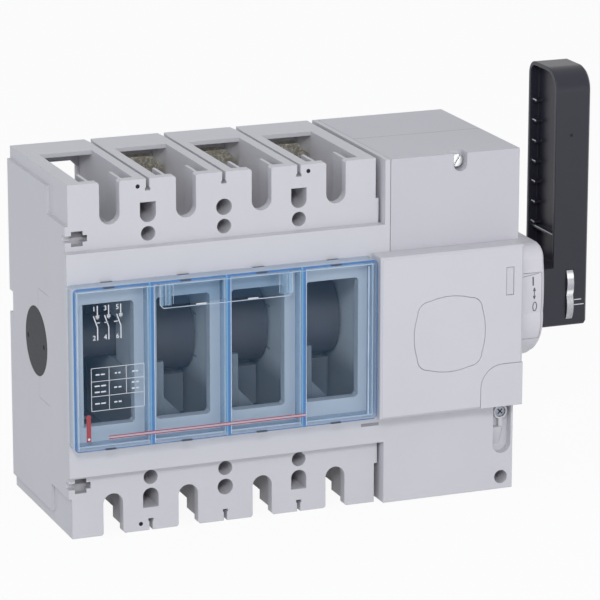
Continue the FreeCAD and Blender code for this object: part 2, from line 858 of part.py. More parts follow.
def terminal(x, side):
    """Tinned bar from the wire end to the fixed contact. Lower bars reach round to the rotor's front."""
    front = -terminal_front_from_rear
    rear = front + terminal_thickness
    end = half_height - terminal_end_drop
    outer = bar_outer
    inner = outer - terminal_bar
    tip = blade_length / 2 + side * axis_z - contact_overlap
    if side > 0:
        face = axis_y + blade_thickness / 2 + contact_gap
        back = face + terminal_finger
        steps = [(front, end), (rear, end), (rear, inner), (back, inner), (back, tip), (face, tip),
                 (face, outer), (front, outer)]
    else:
        face = axis_y - blade_thickness / 2 - contact_gap
        back = face - terminal_finger
        steps = [(front, -end), (rear, -end), (rear, -inner), (face, -inner), (face, -tip), (back, -tip),
                 (back, -outer), (front, -outer)]
    half = terminal_width / 2
    bar = prism("X", x - half, x + half, steps)
    trims = []
    for hand in (1, -1):
        corner = x + hand * half
        trims.append(prism("Y", front, rear, [(corner, side * end), (corner - hand * terminal_chamfer, side * end),
                                              (corner, side * (end - terminal_chamfer))]))
    hole = rod("Y", terminal_hole_d / 2, front, rear, x, side * (half_height - terminal_hole_from_end))
    return cut(bar, hole, *trims)


def arc_chute(x):
    """Splitter plates between two cheeks, above the path of the moving contact."""
    half = contact_room_width / 2 - chute_fit
    front = face_y + contact_front_wall + chute_fit
    back = front + chute_length
    top = chute_top
    low = chute_top - chute_height
    cheeks = [box((x + hand * half, x + hand * (half - chute_cheek)), (front, back), (low, top))
              for hand in (1, -1)]
    step = (chute_length - chute_plate) / (chute_plates - 1)
    plates = [box((x - half, x + half), (front + k * step, front + k * step + chute_plate), (low, top))
              for k in range(chute_plates)]
    return join(cheeks[0], *(cheeks[1:] + plates))


def contact_rotor():
    """Moulded rotor: one drum in each fitted pole, joined by bearing necks."""
    right_end = jaw_start - drive_fit
    left_end = -case_half + cap_disc_depth + drive_fit
    body = rod("X", neck_d / 2, left_end, right_end, axis_y, axis_z)
    half = contact_room_width / 2 - drum_end_gap
    drums = [rod("X", drum_d / 2, x - half, x + half, axis_y, axis_z) for x in live_poles]
    body = join(body, *drums)
    tools = []
    for x in live_poles:
        half_w = blade_width / 2 + blade_slot_gap
        half_t = blade_thickness / 2 + blade_slot_gap
        tools.append(box((x - half_w, x + half_w), (axis_y - half_t, axis_y + half_t),
                         (axis_z - drum_d, axis_z + drum_d)))
    half = jaw_tang / 2 + drive_fit
    tools.append(box((right_end - jaw_tang_length, right_end), (axis_y - half, axis_y + half),
                     (axis_z - half, axis_z + half)))
    return cut(body, *tools)


def moving_contact(x):
    """Double-ended contact blade."""
    half_w = blade_width / 2
    half_t = blade_thickness / 2
    half_l = blade_length / 2
    return box((x - half_w, x + half_w), (axis_y - half_t, axis_y + half_t), (axis_z - half_l, axis_z + half_l))


def rotor_jaw():
    """Slotted block on the rotor's end."""
    half = jaw_side / 2
    end = jaw_start + jaw_back + jaw_length
    body = join(centred_block(jaw_start, end, half, half),
                centred_block(jaw_start - jaw_tang_length, jaw_start + 1, jaw_tang / 2, jaw_tang / 2))
    return body.cut(centred_block(jaw_start + jaw_back, end, half, jaw_tongue / 2 + drive_fit))


def drive_jaw():
    """Block on the square of the handle shaft, with a tongue in the rotor's slot."""
    half = jaw_side / 2
    start = jaw_start + jaw_back + jaw_length + jaw_gap
    body = join(centred_block(start, start + jaw_back, half, half),
                centred_block(start - jaw_length, start + 1, half, jaw_tongue / 2))
    square = shaft_square / 2 + drive_fit
    return body.cut(centred_block(start - 1, start + jaw_back, square, square))


def handle_shaft():
    round_start = shaft_start + shaft_square_length
    end = handle_x + shaft_insertion
    half = shaft_square / 2
    square = box((shaft_start, round_start + 1), (axis_y - half, axis_y + half), (axis_z - half, axis_z + half))
    return join(rod("X", shaft_d / 2, round_start, end, axis_y, axis_z), square)


def mechanism_frame():
    """Steel bracket with the inner bearing of the handle shaft."""
    x0, x1 = frame_plate_x, frame_plate_x + frame_plate
    half = frame_width / 2
    foot_y = -rear_plate - frame_plate
    plate = box((x0, x1), (axis_y - half / 2, -rear_plate), (axis_z - half, axis_z + half))
    foot = box((x0, x0 + frame_foot), (foot_y, -rear_plate), (axis_z - half, axis_z + half))
    return join(plate, foot).cut(rod("X", shaft_d / 2 + bearing_clearance, x0, x1, axis_y, axis_z))


def snap_spring():
    """Leaf spring on the frame's foot that presses towards the shaft."""
    foot_top = -rear_plate - frame_plate
    x0 = frame_plate_x + frame_plate + spring_gap
    x1 = x0 + spring_width
    low, high = axis_z - spring_reach, axis_z + spring_reach
    tip = axis_y + shaft_d / 2 + spring_gap
    knee = axis_z + spring_leaf
    steps = [(foot_top, low), (foot_top, low + spring_foot), (foot_top - spring_leaf, low + spring_foot),
             (tip + spring_leaf, knee), (foot_top - spring_foot, high), (foot_top - spring_foot - spring_leaf, high),
             (tip, knee), (foot_top - spring_leaf, low)]
    return prism("X", x0, x1, steps)


def lever_steps(inset, low):
    """Outline of the lever, with a large round at the top front and a small one at the bottom."""
    y0, y1, top = lever_front + inset, lever_rear - inset, lever_top - inset
    front_r, rear_r, foot_r = lever_front_r - inset, lever_rear_r - inset, lever_foot_r - inset
    front = (y0 + front_r, top - front_r)
    rear = (y1 - rear_r, top - rear_r)
    foot = (y0 + foot_r, low + foot_r)
    return [(y0, foot[1]), (y0, front[1]), (arc_point(front, front_r, 135), (front[0], top)), (rear[0], top),
            (arc_point(rear, rear_r, 45), (y1, rear[1])), (y1, low), (foot[0], low),
            (arc_point(foot, foot_r, 225), (y0, foot[1]))]


def lever_ribs():
    rear = lever_rear - lever_wall
    floor = lever_x + lever_recess
    half = lever_rib / 2
    gussets = []
    for k in range(lever_rib_count):
        z = lever_rib_first + k * lever_rib_pitch
        gussets.append(box((lever_x + lever_rib, floor + half), (rear - lever_rib_length, rear + half),
                           (z - half, z + half)))
    cross = box((lever_x + lever_rib, floor + half), (lever_front + lever_wall - half, rear + half),
                (lever_cross_rib_z - half, lever_cross_rib_z + half))
    return gussets + [cross]


def handle_lever():
    """Moulded side handle with a square boss on the shaft and a ribbed inner face."""
    foot = axis_z - lever_low
    shoulder = lever_x + lever_thickness - lever_edge
    bar = join(prism("X", lever_x, shoulder, lever_steps(0, foot)),
               taper("X", shoulder, shoulder + lever_edge, lever_steps(0, foot),
                     lever_steps(lever_edge, foot + lever_edge)))
    boss_top = axis_z + lever_boss_high
    boss = prism("X", handle_x, lever_x + lever_edge,
                 [(lever_front, foot + lever_foot_r), (lever_front, boss_top), (lever_rear, boss_top),
                  (lever_rear, foot), (lever_front + lever_foot_r, foot),
                  (arc_point((lever_front + lever_foot_r, foot + lever_foot_r), lever_foot_r, 225),
                   (lever_front, foot + lever_foot_r))])
    channel = prism("X", lever_x, lever_x + lever_recess, lever_steps(lever_wall, foot))
    channel = channel.common(box((lever_x, lever_x + lever_recess), (lever_front, lever_rear), (boss_top, lever_top)))
    slot_x = (lever_x + tab_left - tab_fit, lever_x + tab_left + tab_thickness + tab_fit)
    half = tab_height / 2 + tab_fit
    slot = box(slot_x, (lever_front, lever_front + tab_depth + tab_fit), (axis_z - half, axis_z + half))
    socket = rod("X", shaft_d / 2 + bearing_clearance, handle_x, handle_x + shaft_insertion + tab_fit, axis_y, axis_z)
    return join(cut(join(bar, boss), channel, slot, socket), *lever_ribs())


def padlock_tab():
    """Steel tab that pulls out of the handle and takes padlock shackles."""
    x0 = lever_x + tab_left
    front, back = lever_front, lever_front + tab_depth
    half = tab_height / 2
    pinch = (front - tab_pinch, axis_z)
    steps = [(front, axis_z - half), ((front - tab_bulge, axis_z - half / 2), pinch),
             ((front - tab_bulge, axis_z + half / 2), (front, axis_z + half)),
             (back, axis_z + half), (back, axis_z - half)]
    body = prism("X", x0, x0 + tab_thickness, steps)
    hole_y = front + tab_hole_from_front
    long_half = tab_hole_length / 2
    hole = prism("X", x0, x0 + tab_thickness, rounded((hole_y, hole_y + tab_hole_width),
                                                      (axis_z - long_half, axis_z + long_half), tab_hole_r))
    return body.cut(hole)


def pan_screw(head_y, x, z, head_d, head, length):
    """Screw along Y with its head towards the front; head_y is the seat under the head."""
    return join(rod("Y", head_d / 2, head_y - head, head_y, x, z),
                plain_shank(screw_d / 2, head_y - head / 2, head_y + length, x, z))


def case_screws():
    seat = joint_y - screw_grip
    screws = []
    for x in wall_x:
        for z in (screw_row_z, -screw_row_z):
            head = plain_shank(screw_head_d / 2, seat - screw_head_height, seat, x, z, head_sides)
            shank = plain_shank(screw_d / 2, seat - screw_head_height / 2, seat + screw_length, x, z)
            screws.append(join(head, shank))
    return Part.makeCompound(screws)


def cover_screw():
    seat = band_y + aux_notch_depth
    z = half_height - aux_screw_drop
    body = pan_screw(seat, aux_screw_x, z, aux_screw_head_d, aux_screw_head, aux_screw_length)
    half = aux_screw_slot / 2
    slot = box((aux_screw_x - aux_screw_head_d, aux_screw_x + aux_screw_head_d),
               (seat - aux_screw_head, seat - aux_screw_head / 2), (z - half, z + half))
    slot.rotate(FreeCAD.Vector(aux_screw_x, seat, z), FreeCAD.Vector(0, 1, 0), -aux_screw_turn)
    return body.cut(slot)


def fixing_screw():
    head_d = well_ring_d - 2 * well_ring_wall - 2 * drive_fit
    return pan_screw(band_y + well_depth, screw_well()[1], well_screw_z, head_d, fixing_screw_head, fixing_screw_length)


save("base_housing", base_housing())
save("pole_cover", pole_cover())
save("mechanism_housing", mechanism_housing())
save("mechanism_base", mechanism_base())
save("auxiliary_cover", auxiliary_cover())
save("front_plate", front_plate())
save("plate_pad", plate_pad())
save("indicator_lens", indicator_lens())
save("corner_cap", corner_cap())
save("window_cover", window_cover())
save("side_cap", side_cap())
save("hub_boss", hub_boss())
save("hub_label", hub_label())
for number, x in enumerate(live_poles, start=1):
    save("upper_terminal_%d" % number, terminal(x, 1))
    save("lower_terminal_%d" % number, terminal(x, -1))
    save("moving_contact_%d" % number, moving_contact(x))
    save("arc_chute_%d" % number, arc_chute(x))
save("contact_rotor", contact_rotor())
save("rotor_jaw", rotor_jaw())
save("drive_jaw", drive_jaw())
save("handle_shaft", handle_shaft())
save("mechanism_frame", mechanism_frame())
save("snap_spring", snap_spring())
save("handle_lever", handle_lever())
save("padlock_tab", padlock_tab())
save("case_screws", case_screws())
save("cover_screw", cover_screw())
save("fixing_screw", fixing_screw())
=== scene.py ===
# %% [markdown]
# # A switch disconnector in a grey moulded case
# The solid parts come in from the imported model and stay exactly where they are.
# This lesson gives each one a finish, adds the small printed and stamped details,
# and then sets up the studio and the camera.

# %% Load the solid parts
import bpy
import math
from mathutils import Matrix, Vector


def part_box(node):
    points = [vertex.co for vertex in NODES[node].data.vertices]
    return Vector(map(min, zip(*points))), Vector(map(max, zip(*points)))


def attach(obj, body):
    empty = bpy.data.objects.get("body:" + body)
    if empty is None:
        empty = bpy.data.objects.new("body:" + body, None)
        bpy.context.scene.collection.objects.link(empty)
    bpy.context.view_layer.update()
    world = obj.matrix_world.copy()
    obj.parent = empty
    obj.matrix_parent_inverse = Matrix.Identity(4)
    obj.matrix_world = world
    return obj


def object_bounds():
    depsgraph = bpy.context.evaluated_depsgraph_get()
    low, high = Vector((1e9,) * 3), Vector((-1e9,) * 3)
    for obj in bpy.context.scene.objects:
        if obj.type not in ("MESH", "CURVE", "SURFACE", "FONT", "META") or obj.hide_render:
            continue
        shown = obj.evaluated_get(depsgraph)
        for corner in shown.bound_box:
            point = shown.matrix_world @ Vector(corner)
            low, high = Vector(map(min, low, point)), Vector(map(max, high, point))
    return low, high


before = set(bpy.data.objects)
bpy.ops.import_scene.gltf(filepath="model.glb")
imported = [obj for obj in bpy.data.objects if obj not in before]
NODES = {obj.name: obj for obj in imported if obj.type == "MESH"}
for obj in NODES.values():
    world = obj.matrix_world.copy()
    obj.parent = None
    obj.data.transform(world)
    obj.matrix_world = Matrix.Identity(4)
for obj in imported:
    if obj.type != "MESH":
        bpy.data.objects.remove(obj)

cad_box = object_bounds()
print("solid parts:", len(NODES), "box:", [list(map(float, c)) for c in cad_box])

# %% [markdown]
# Every number below is written in millimetres, as on a drawing. Blender works in metres,
# so one small function does the change wherever a place or a size is handed over.

# %% Millimetres and a clean selection
MM = 0.001
POLE_PITCH = 43.5  # from one pole to the next


def mm(*values):
    """Millimetres to metres."""
    return tuple(v * MM for v in values)


def box_mm(name):
    """The low and the high corner of a solid part's box, in millimetres."""
    return [[c / MM for c in corner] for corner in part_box(name)]


def select_only(*objects):
    """Nothing else stays selected, because an operator acts on all that is."""
    bpy.ops.object.select_all(action="DESELECT")
    for item in objects:
        item.select_set(True)
    if objects:
        bpy.context.view_layer.objects.active = objects[0]


select_only()
print("selected:", len(bpy.context.selected_objects))

# %% [markdown]
# ## Writing shader maths as plain expressions
# A material's pattern is arithmetic on the position of the surface. Drawing dozens of Math
# nodes by hand hides that. This small class wraps one socket, so that `1 - mask * 0.4` adds
# the nodes for itself and still reads like a formula.

# %% The expression wrapper
class Wire:
    """One output socket that can be used in arithmetic."""

    def __init__(self, bench, socket):
        self.bench = bench
        self.socket = socket

    def _math(self, operation, *others):
        values = [other.socket if isinstance(other, Wire) else other for other in others]
        return self.bench.node("ShaderNodeMath", {"operation": operation},
                               {i: v for i, v in enumerate([self.socket] + values)})

    def __add__(self, other): return self._math("ADD", other)
    def __radd__(self, other): return self._math("ADD", other)
    def __sub__(self, other): return self._math("SUBTRACT", other)
    def __rsub__(self, other): return (self * -1.0) + other
    def __mul__(self, other): return self._math("MULTIPLY", other)
    def __rmul__(self, other): return self._math("MULTIPLY", other)
    def __truediv__(self, other): return self._math("DIVIDE", other)
    def __abs__(self): return self._math("ABSOLUTE")
    def low(self, other): return self._math("MINIMUM", other)
    def high(self, other): return self._math("MAXIMUM", other)

    def above(self, edge, soft):
        """0 below the edge and 1 above it, with a soft step."""
        return ((self - (edge - soft / 2)) / soft)._clamped()

    def below(self, edge, soft):
        return 1.0 - self.above(edge, soft)

    def _clamped(self):
        return self.high(0.0).low(1.0)


print("wrapper ready")

# %% [markdown]
# A bench is one material, or the world, with its nodes. One method adds any node: the
# settings go on first, then the values or links of its sockets.

# %% The node bench
COLOUR_A, COLOUR_B, COLOUR_OUT = 6, 7, 2  # the colour sockets of the Mix node, by number


class Bench:
    def __init__(self, name, world=False):
        self.owner = bpy.data.worlds.new(name) if world else bpy.data.materials.new(name)
        self.owner.use_nodes = True
        self.tree = self.owner.node_tree
        self.tree.nodes.clear()
        self.place = self.node("ShaderNodeTexCoord", {}, {}, "Object")
        self.normal = Wire(self, self.place.socket.node.outputs["Normal"])

    def node(self, kind, settings, inputs, output=0):
        node = self.tree.nodes.new(kind)
        for key, value in settings.items():
            setattr(node, key, value)
        for key, value in inputs.items():
            socket = node.inputs[key]
            source = value.socket if isinstance(value, Wire) else value
            if isinstance(source, bpy.types.NodeSocket):
                self.tree.links.new(source, socket)
            else:
                socket.default_value = source
        return Wire(self, node.outputs[output]) if node.outputs else node

    def axes(self):
        """Position in millimetres as three wires."""
        scaled = self.node("ShaderNodeVectorMath", {"operation": "MULTIPLY"},
                           {0: self.place, 1: (1000.0, 1000.0, 1000.0)})
        return self._split(scaled)

    def facing(self):
        """The surface's own direction as three wires."""
        return self._split(self.normal)

    def _split(self, vector):
        split = self.node("ShaderNodeSeparateXYZ", {}, {0: vector})
        return [Wire(self, split.socket.node.outputs[i]) for i in range(3)]

    def noise(self, size_mm, detail=2.0, rough=0.5, stretch=(1.0, 1.0, 1.0)):
        place = self.node("ShaderNodeMapping", {}, {"Vector": self.place, "Scale": stretch})
        return self.node("ShaderNodeTexNoise", {"noise_dimensions": "3D"},
                         {"Vector": place, "Scale": 1000.0 / size_mm, "Detail": detail,
                          "Roughness": rough}, "Fac")

    def blend(self, share, first, second):
        """Colour mix: first where share is 0, second where it is 1."""
        first, second = [c if isinstance(c, Wire) else tuple(c) + (1.0,) for c in (first, second)]
        return self.node("ShaderNodeMix", {"data_type": "RGBA"},
                         {0: share, COLOUR_A: first, COLOUR_B: second}, COLOUR_OUT)

    def soft_edges(self, radius_mm, height=None, depth_mm=0.05):
        """Rounded-looking edges, with an optional grain on top."""
        normal = self.node("ShaderNodeBevel", {"samples": 6}, {"Radius": radius_mm * MM})
        if height is None:
            return normal
        return self.node("ShaderNodeBump", {}, {"Height": height, "Distance": depth_mm * MM,
                                                "Strength": 1.0, "Normal": normal})

    def finish(self, inputs):
        surface = self.node("ShaderNodeBsdfPrincipled", {}, inputs)
        return self.output(surface)

    def output(self, surface):
        self.node("ShaderNodeOutputMaterial", {}, {"Surface": surface})
        return self.owner


print("bench ready")

# %% [markdown]
# ## The case plastic
# The case is a glass-filled moulding. It is a cool pale grey with a very fine spark-eroded
# grain, and it is a little cloudy where the melt has flowed. One recipe with a colour
# serves all its mouldings, so that neighbours match as they do on the real object.

# %% A recipe for grained mouldings
def moulded(name, colour, rough=0.5, grain=0.03, edge=0.5, cloud=0.035, specular=0.4):
    bench = Bench(name)
    clouds = bench.noise(38.0, 3.0)
    specks = bench.noise(1.3, 2.0)
    darker = tuple(c * (1.0 - cloud) for c in colour)
    lighter = tuple(min(1.0, c * (1.0 + cloud)) for c in colour)
    tone = bench.blend(clouds * 0.75 + specks * 0.25, darker, lighter)
    normal = bench.soft_edges(edge, bench.noise(0.55, 3.0, 0.6), grain)
    return bench, {"Base Color": tone, "Roughness": rough - 0.06 + specks * 0.12,
                   "Normal": normal, "Specular IOR Level": specular}


def moulding(name, colour, **look):
    """The recipe as it is, without masks."""
    bench, sockets = moulded(name, colour, **look)
    return bench.finish(sockets)


def paint(material, *names):
    """Puts one finish on solid parts or new pieces."""
    for name in names:
        item = NODES[name] if isinstance(name, str) else name
        item.data.materials.clear()
        item.data.materials.append(material)


CASE_COLOUR = (0.600, 0.594, 0.628)
case_grey = moulding("mechanism grey", CASE_COLOUR)
paint(case_grey, "mechanism_housing", "mechanism_base")
paint(moulding("auxiliary grey", (0.555, 0.545, 0.590)), "auxiliary_cover")
paint(moulding("front plate grey", (0.610, 0.602, 0.640), rough=0.45, grain=0.02),
      "front_plate", "plate_pad", "corner_cap")
paint(moulding("hub grey", (0.680, 0.665, 0.710), rough=0.45, grain=0.02), "hub_boss", "hub_label")
paint(moulding("lens grey", (0.585, 0.580, 0.615), rough=0.25, grain=0.005, specular=0.6),
      "indicator_lens")
print("grey mouldings painted, the first one is", case_grey.name)

# %% [markdown]
# The two big mouldings are pale outside. Inside the contact rooms the walls carry painted shade,
# darker the deeper the wall lies and near the top and the bottom of a room; walls facing left are
# painted paler as painted light. The clip slots at the left corner are painted dark inside as shade.
# The same recipe gets masks made from the position of the surface.

# %% Case mouldings with painted shade in the rooms
ROOM_HALF_X, ROOM_FRONT, ROOM_REAR, ROOM_HALF_Z = 82.2, -102.0, -7.6, 56.6
# where the painted shade on the room walls sets in, and over what depth it grows
ROOM_SHADE_MIDDLE_Y, ROOM_SHADE_RUN = -42.0, 50.0
UPPER_SHADE_Z, LOWER_SHADE_Z = 34.0, -22.0
CLIP_LEFT, CLIP_RIGHT, CLIP_FRONT, CLIP_REAR = -86.6, -77.8, -102.3, -97.2
CLIP_Z, CLIP_HALF = 69.2, 4.3
CLIP_PALE_Z, CLIP_PALE_HALF = (-71.6, 66.6), 2.2


def sooty(name, colour, room_shade):
    """Painted shade: walls darker with depth and near top and bottom, left-facing walls painted paler,
    clip slots painted dark.
    """
    bench, sockets = moulded(name, colour)
    x, y, z = bench.axes()
    rooms = (abs(z).below(ROOM_HALF_Z, 0.6) * abs(x).below(ROOM_HALF_X, 0.4)
             * y.below(ROOM_REAR, 0.4) * y.above(ROOM_FRONT, 0.3))
    # painted shade: darker the deeper the wall lies, and near the top and the bottom of a room
    depth = y.above(ROOM_SHADE_MIDDLE_Y, ROOM_SHADE_RUN)
    shadow = z.above(UPPER_SHADE_Z, 10.0).high((z - LOWER_SHADE_Z).below(0.0, 12.0) * 0.55)
    # painted light: walls facing left are painted much paler, as if lit
    facing_left = bench.facing()[0].below(-0.5, 0.2)
    tone_noise = bench.noise(14.0, 4.0)
    pale = bench.blend(tone_noise, (0.56, 0.57, 0.60), (0.62, 0.63, 0.66))
    pale = bench.blend(facing_left, pale, (0.91, 0.91, 0.92))
    dark = bench.blend(tone_noise, tuple(c * 0.75 for c in room_shade), tuple(c * 1.3 for c in room_shade))
    wall = bench.blend((depth * (1.0 - facing_left * 0.75)).high(shadow), pale, dark)
    # painted shade inside the clip slots at the left corner, less dark at two places
    slots = (abs(abs(z) - CLIP_Z).below(CLIP_HALF, 0.2) * y.above(CLIP_FRONT, 0.2)
             * y.below(CLIP_REAR, 0.2) * x.above(CLIP_LEFT, 1.6) * x.below(CLIP_RIGHT, 0.1))
    paler, paler_too = [abs(z - place).below(CLIP_PALE_HALF, 0.6) for place in CLIP_PALE_Z]
    shade = bench.blend(slots * (0.78 - paler.high(paler_too) * 0.5), sockets["Base Color"],
                        (0.07, 0.07, 0.08))
    sockets["Base Color"] = bench.blend(rooms, shade, wall)
    return bench.finish(sockets)


paint(sooty("case grey with painted shade in the rooms", CASE_COLOUR, (0.055, 0.058, 0.07)),
      "base_housing", "pole_cover")
print("case mouldings painted")

# %% [markdown]
# ## Black and dark mouldings
# The handle is a near-black nylon with a satin skin. The rotor and the side cap are duller.

# %% Handle, rotor and side cap
paint(moulding("handle black", (0.021, 0.021, 0.033), rough=0.36, grain=0.02, edge=0.9,
               cloud=0.12, specular=0.38), "handle_lever")
paint(moulding("rotor grey", (0.150, 0.132, 0.138), rough=0.55, cloud=0.12),
      "contact_rotor", "rotor_jaw", "drive_jaw")
paint(moulding("cap black", (0.014, 0.016, 0.024), rough=0.55, cloud=0.1, specular=0.35), "side_cap")
print("dark mouldings painted")

# %% [markdown]
# ## Metals
# Screws, frame, spring and shaft are zinc plated: bright, with small mottled patches.
# The padlock tab is a stamped steel strip with marks along its rolling direction and two painted
# highlight bands. The terminals are tinned copper with a warm tint, and the contact blades are
# silvered copper; inside the rooms both are painted dark as shade.

# %% A recipe for plated metal
METAL_EDGE = 0.25


def plated(name, colour, second, rough):
    bench = Bench(name)
    patches = bench.noise(2.4, 4.0, 0.6)
    lines = bench.noise(0.5, 3.0, 0.6)
    tone = bench.blend(patches, colour, second)
    return bench.finish({"Base Color": tone, "Metallic": 1.0,
                         "Roughness": rough - 0.08 + lines * 0.16,
                         "Normal": bench.soft_edges(METAL_EDGE, lines, 0.02)})


paint(plated("zinc plate", (0.62, 0.64, 0.66), (0.74, 0.75, 0.74), 0.32),
      "case_screws", "cover_screw", "mechanism_frame", "snap_spring", "handle_shaft")
paint(plated("dark zinc plate", (0.20, 0.22, 0.27), (0.36, 0.38, 0.43), 0.4), "fixing_screw")

HIGHLIGHT_SHARES = (0.90, 0.55)  # heights of the two painted highlight bands, where the tab bows forward, as shares of its length


def tab_finish():
    """Scuffed grey steel, with two painted highlight bands where the tab bows to the front."""
    bench = Bench("stamped steel")
    z = bench.axes()[2]
    low, high = [corner[2] for corner in box_mm("padlock_tab")]
    marks = bench.noise(1.6, 4.0, 0.7, (4.0, 0.2, 1.0))
    # painted highlight: two bright bands across the tab
    upper, lower = [abs(z - (low + (high - low) * share)).below(1.3, 1.6) for share in HIGHLIGHT_SHARES]
    highlight_bands = upper.high(lower)
    tone = bench.blend(marks, (0.20, 0.20, 0.23), (0.62, 0.62, 0.66))
    tone = bench.blend(highlight_bands, tone, (0.95, 0.95, 0.97))
    return bench.finish({"Base Color": tone, "Metallic": 1.0,
                         "Roughness": 0.38 - highlight_bands * 0.14 + marks * 0.08,
                         "Normal": bench.soft_edges(METAL_EDGE, marks, 0.03)})


paint(tab_finish(), "padlock_tab")


ROOM_COLOUR = (0.24, 0.235, 0.25)  # the chutes' own dark tone, and painted shade on the copper inside the rooms
TERMINAL_ROOM_Z = 57.0  # nearer to the middle than this, a terminal's bar is inside the room


def terminal_finish():
    """Warm tin outside, with scuffed patches, and painted shade where the bar is inside the room."""
    bench = Bench("tinned copper")
    z = bench.axes()[2]
    patches = bench.noise(1.5, 5.0, 0.7)
    lines = bench.noise(0.5, 3.0, 0.6, (0.3, 1.0, 2.0))
    tin = bench.blend(patches.above(0.54, 0.16), (0.42, 0.40, 0.32), (0.84, 0.81, 0.68))
    # painted shade: the bar is dull and dark where it lies inside the room
    room = abs(z).below(TERMINAL_ROOM_Z, 2.0)
    return bench.finish({"Base Color": bench.blend(room, tin, ROOM_COLOUR),
                         "Metallic": 1.0 - room * 0.9,
                         "Roughness": 0.30 + lines * 0.16 + room * 0.25,
                         "Normal": bench.soft_edges(METAL_EDGE, patches * 0.6 + lines * 0.4, 0.06)})


tinned = terminal_finish()
# the silvered blades are kept dark: painted shade of the room they sit in
silvered = plated("silvered copper", (0.15, 0.13, 0.12), (0.21, 0.19, 0.18), 0.5)
chute_grey = moulding("chute grey", ROOM_COLOUR, rough=0.6, cloud=0.2)
for pole in (1, 2, 3):
    paint(tinned, "upper_terminal_%d" % pole, "lower_terminal_%d" % pole)
    paint(silvered, "moving_contact_%d" % pole)
    paint(chute_grey, "arc_chute_%d" % pole)
print("metals and chutes painted")

# %% [markdown]
# ## The clear window cover
# The cover is clear plastic with a blue dye. Looking straight through a pane the tint is
# faint, and the dye takes out mostly red. Along a rim or a divider the light travels a long
# way inside the plastic, so those show as deep blue lines. Masks find the rims and the
# dividers by their distance from the edges of the panes. The surface is a mix of a glossy
# skin and a plain colour filter, so that no bent rays turn the rims black.

# %% Blue dyed plastic
cover_low, cover_high = box_mm("window_cover")
PANE_WIDTH = (cover_high[0] - cover_low[0]) / 4
DIVIDERS = [cover_low[0] + k * PANE_WIDTH for k in (1, 2, 3)]
FRONT_SKIN = 1.3  # how far behind the cover's front face still counts as front
SIDE_WALL = 2.8


def dyed_plastic():
    """Faint panes, deep blue rims and dividers, painted paler walls and ribs, a painted edge highlight."""
    bench = Bench("blue dyed plastic")
    x, y, z = bench.axes()
    nearest = (x - cover_low[0]).low(-1.0 * x + cover_high[0])
    nearest = nearest.low(z - cover_low[2]).low(-1.0 * z + cover_high[2])
    front = y.below(cover_low[1] + FRONT_SKIN, 0.3)
    rim = nearest.below(1.0, 0.3) * front
    bars, left_half = None, None
    for place in DIVIDERS:
        bar = abs(x - place).below(1.25, 0.2)
        half = bar * x.below(place - 0.35, 0.4)
        bars = bar if bars is None else bars.high(bar)
        left_half = half if left_half is None else left_half.high(half)
    ribs = bars * (1.0 - front) * nearest.above(SIDE_WALL, 0.3)
    back_line = y.above(cover_high[1] - 1.1, 0.3) * nearest.below(0.5, 0.2)
    deep = rim.high(bars * front).high(back_line)
    side = nearest.below(SIDE_WALL, 0.4) * (1.0 - front)
    # painted highlight along the outer edges near the front
    bright = nearest.below(0.2, 0.2) * (1.0 - front) * y.below(cover_low[1] + 3.4, 0.5)
    wisps = bench.noise(22.0, 3.0)
    tint = bench.blend(deep, (0.16, 0.29, 0.48), (0.045, 0.175, 0.44))
    tint = bench.blend(left_half * front, tint, (0.13, 0.36, 0.60))
    # painted light: the side walls and the ribs get paler tints
    tint = bench.blend(side * 0.9, tint, (0.80, 0.88, 1.0))
    tint = bench.blend(ribs * 0.9, tint, (0.66, 0.80, 0.95))
    tint = bench.blend(bright, tint, (0.74, 0.86, 1.0))
    alpha = (0.03 + wisps * 0.04 + ribs * 0.42 + side * 0.46).high(deep * 0.86)
    skin = bench.node("ShaderNodeBsdfPrincipled", {}, {
        "Base Color": tint, "Roughness": 0.08 + wisps * 0.05, "Normal": bench.soft_edges(0.3)})
    dye = bench.node("ShaderNodeBsdfTransparent", {}, {"Color": (0.925, 0.966, 0.992, 1.0)})
    return bench.output(bench.node("ShaderNodeMixShader", {}, {0: alpha, 1: dye, 2: skin}))


paint(dyed_plastic(), "window_cover")
print("window cover painted, dividers at", [round(v, 1) for v in DIVIDERS])

# %% [markdown]
# ## Tools for the small details
# The details that are too fine for the solid parts are made here, each from a Blender
# primitive that is worked on: a bar gets a bevel, and the mouth of a small hole is a disc
# with an inset rim. Every piece is put in place at once, so that its own origin stays at
# the origin of the room, and then it is told which body carries it. Print and other flat
# details lie a hair in front of the face that carries them.

# %% Makers of small pieces
def settle(item, name):
    """Keeps the place in the mesh and gives the piece its name."""
    select_only(item)
    bpy.ops.object.transform_apply(location=True, rotation=True, scale=True)
    item.name = name
    item.data.name = name
    return item


UPRIGHT = (math.radians(90.0), 0.0, 0.0)  # turns what lies flat so that it faces the front


def bar(name, x, y, z, bevel=0.0, turn=0.0):
    """A block between limits on each axis, turned about Y in degrees, with bevelled edges."""
    select_only()
    middle = [(a + b) / 2 for a, b in (x, y, z)]
    size = [abs(b - a) for a, b in (x, y, z)]
    bpy.ops.mesh.primitive_cube_add(size=1.0, location=mm(*middle),
                                    rotation=(0.0, math.radians(turn), 0.0))
    item = bpy.context.object
    item.scale = mm(*size)
    settle(item, name)
    if bevel > 0.0:
        modifier = item.modifiers.new("bevel", "BEVEL")
        modifier.width = bevel * MM
        modifier.segments = 2
        bpy.ops.object.modifier_apply(modifier=modifier.name)
    return item


def stroke(name, start, end, width, y, thick):
    """A printed line on a front face, between two (x, z) places."""
    dx, dz = end[0] - start[0], end[1] - start[1]
    x, z = (start[0] + end[0]) / 2, (start[1] + end[1]) / 2
    half = math.hypot(dx, dz) / 2
    return bar(name, (x - half, x + half), (y - thick, y), (z - width / 2, z + width / 2),
               turn=-math.degrees(math.atan2(dz, dx)))


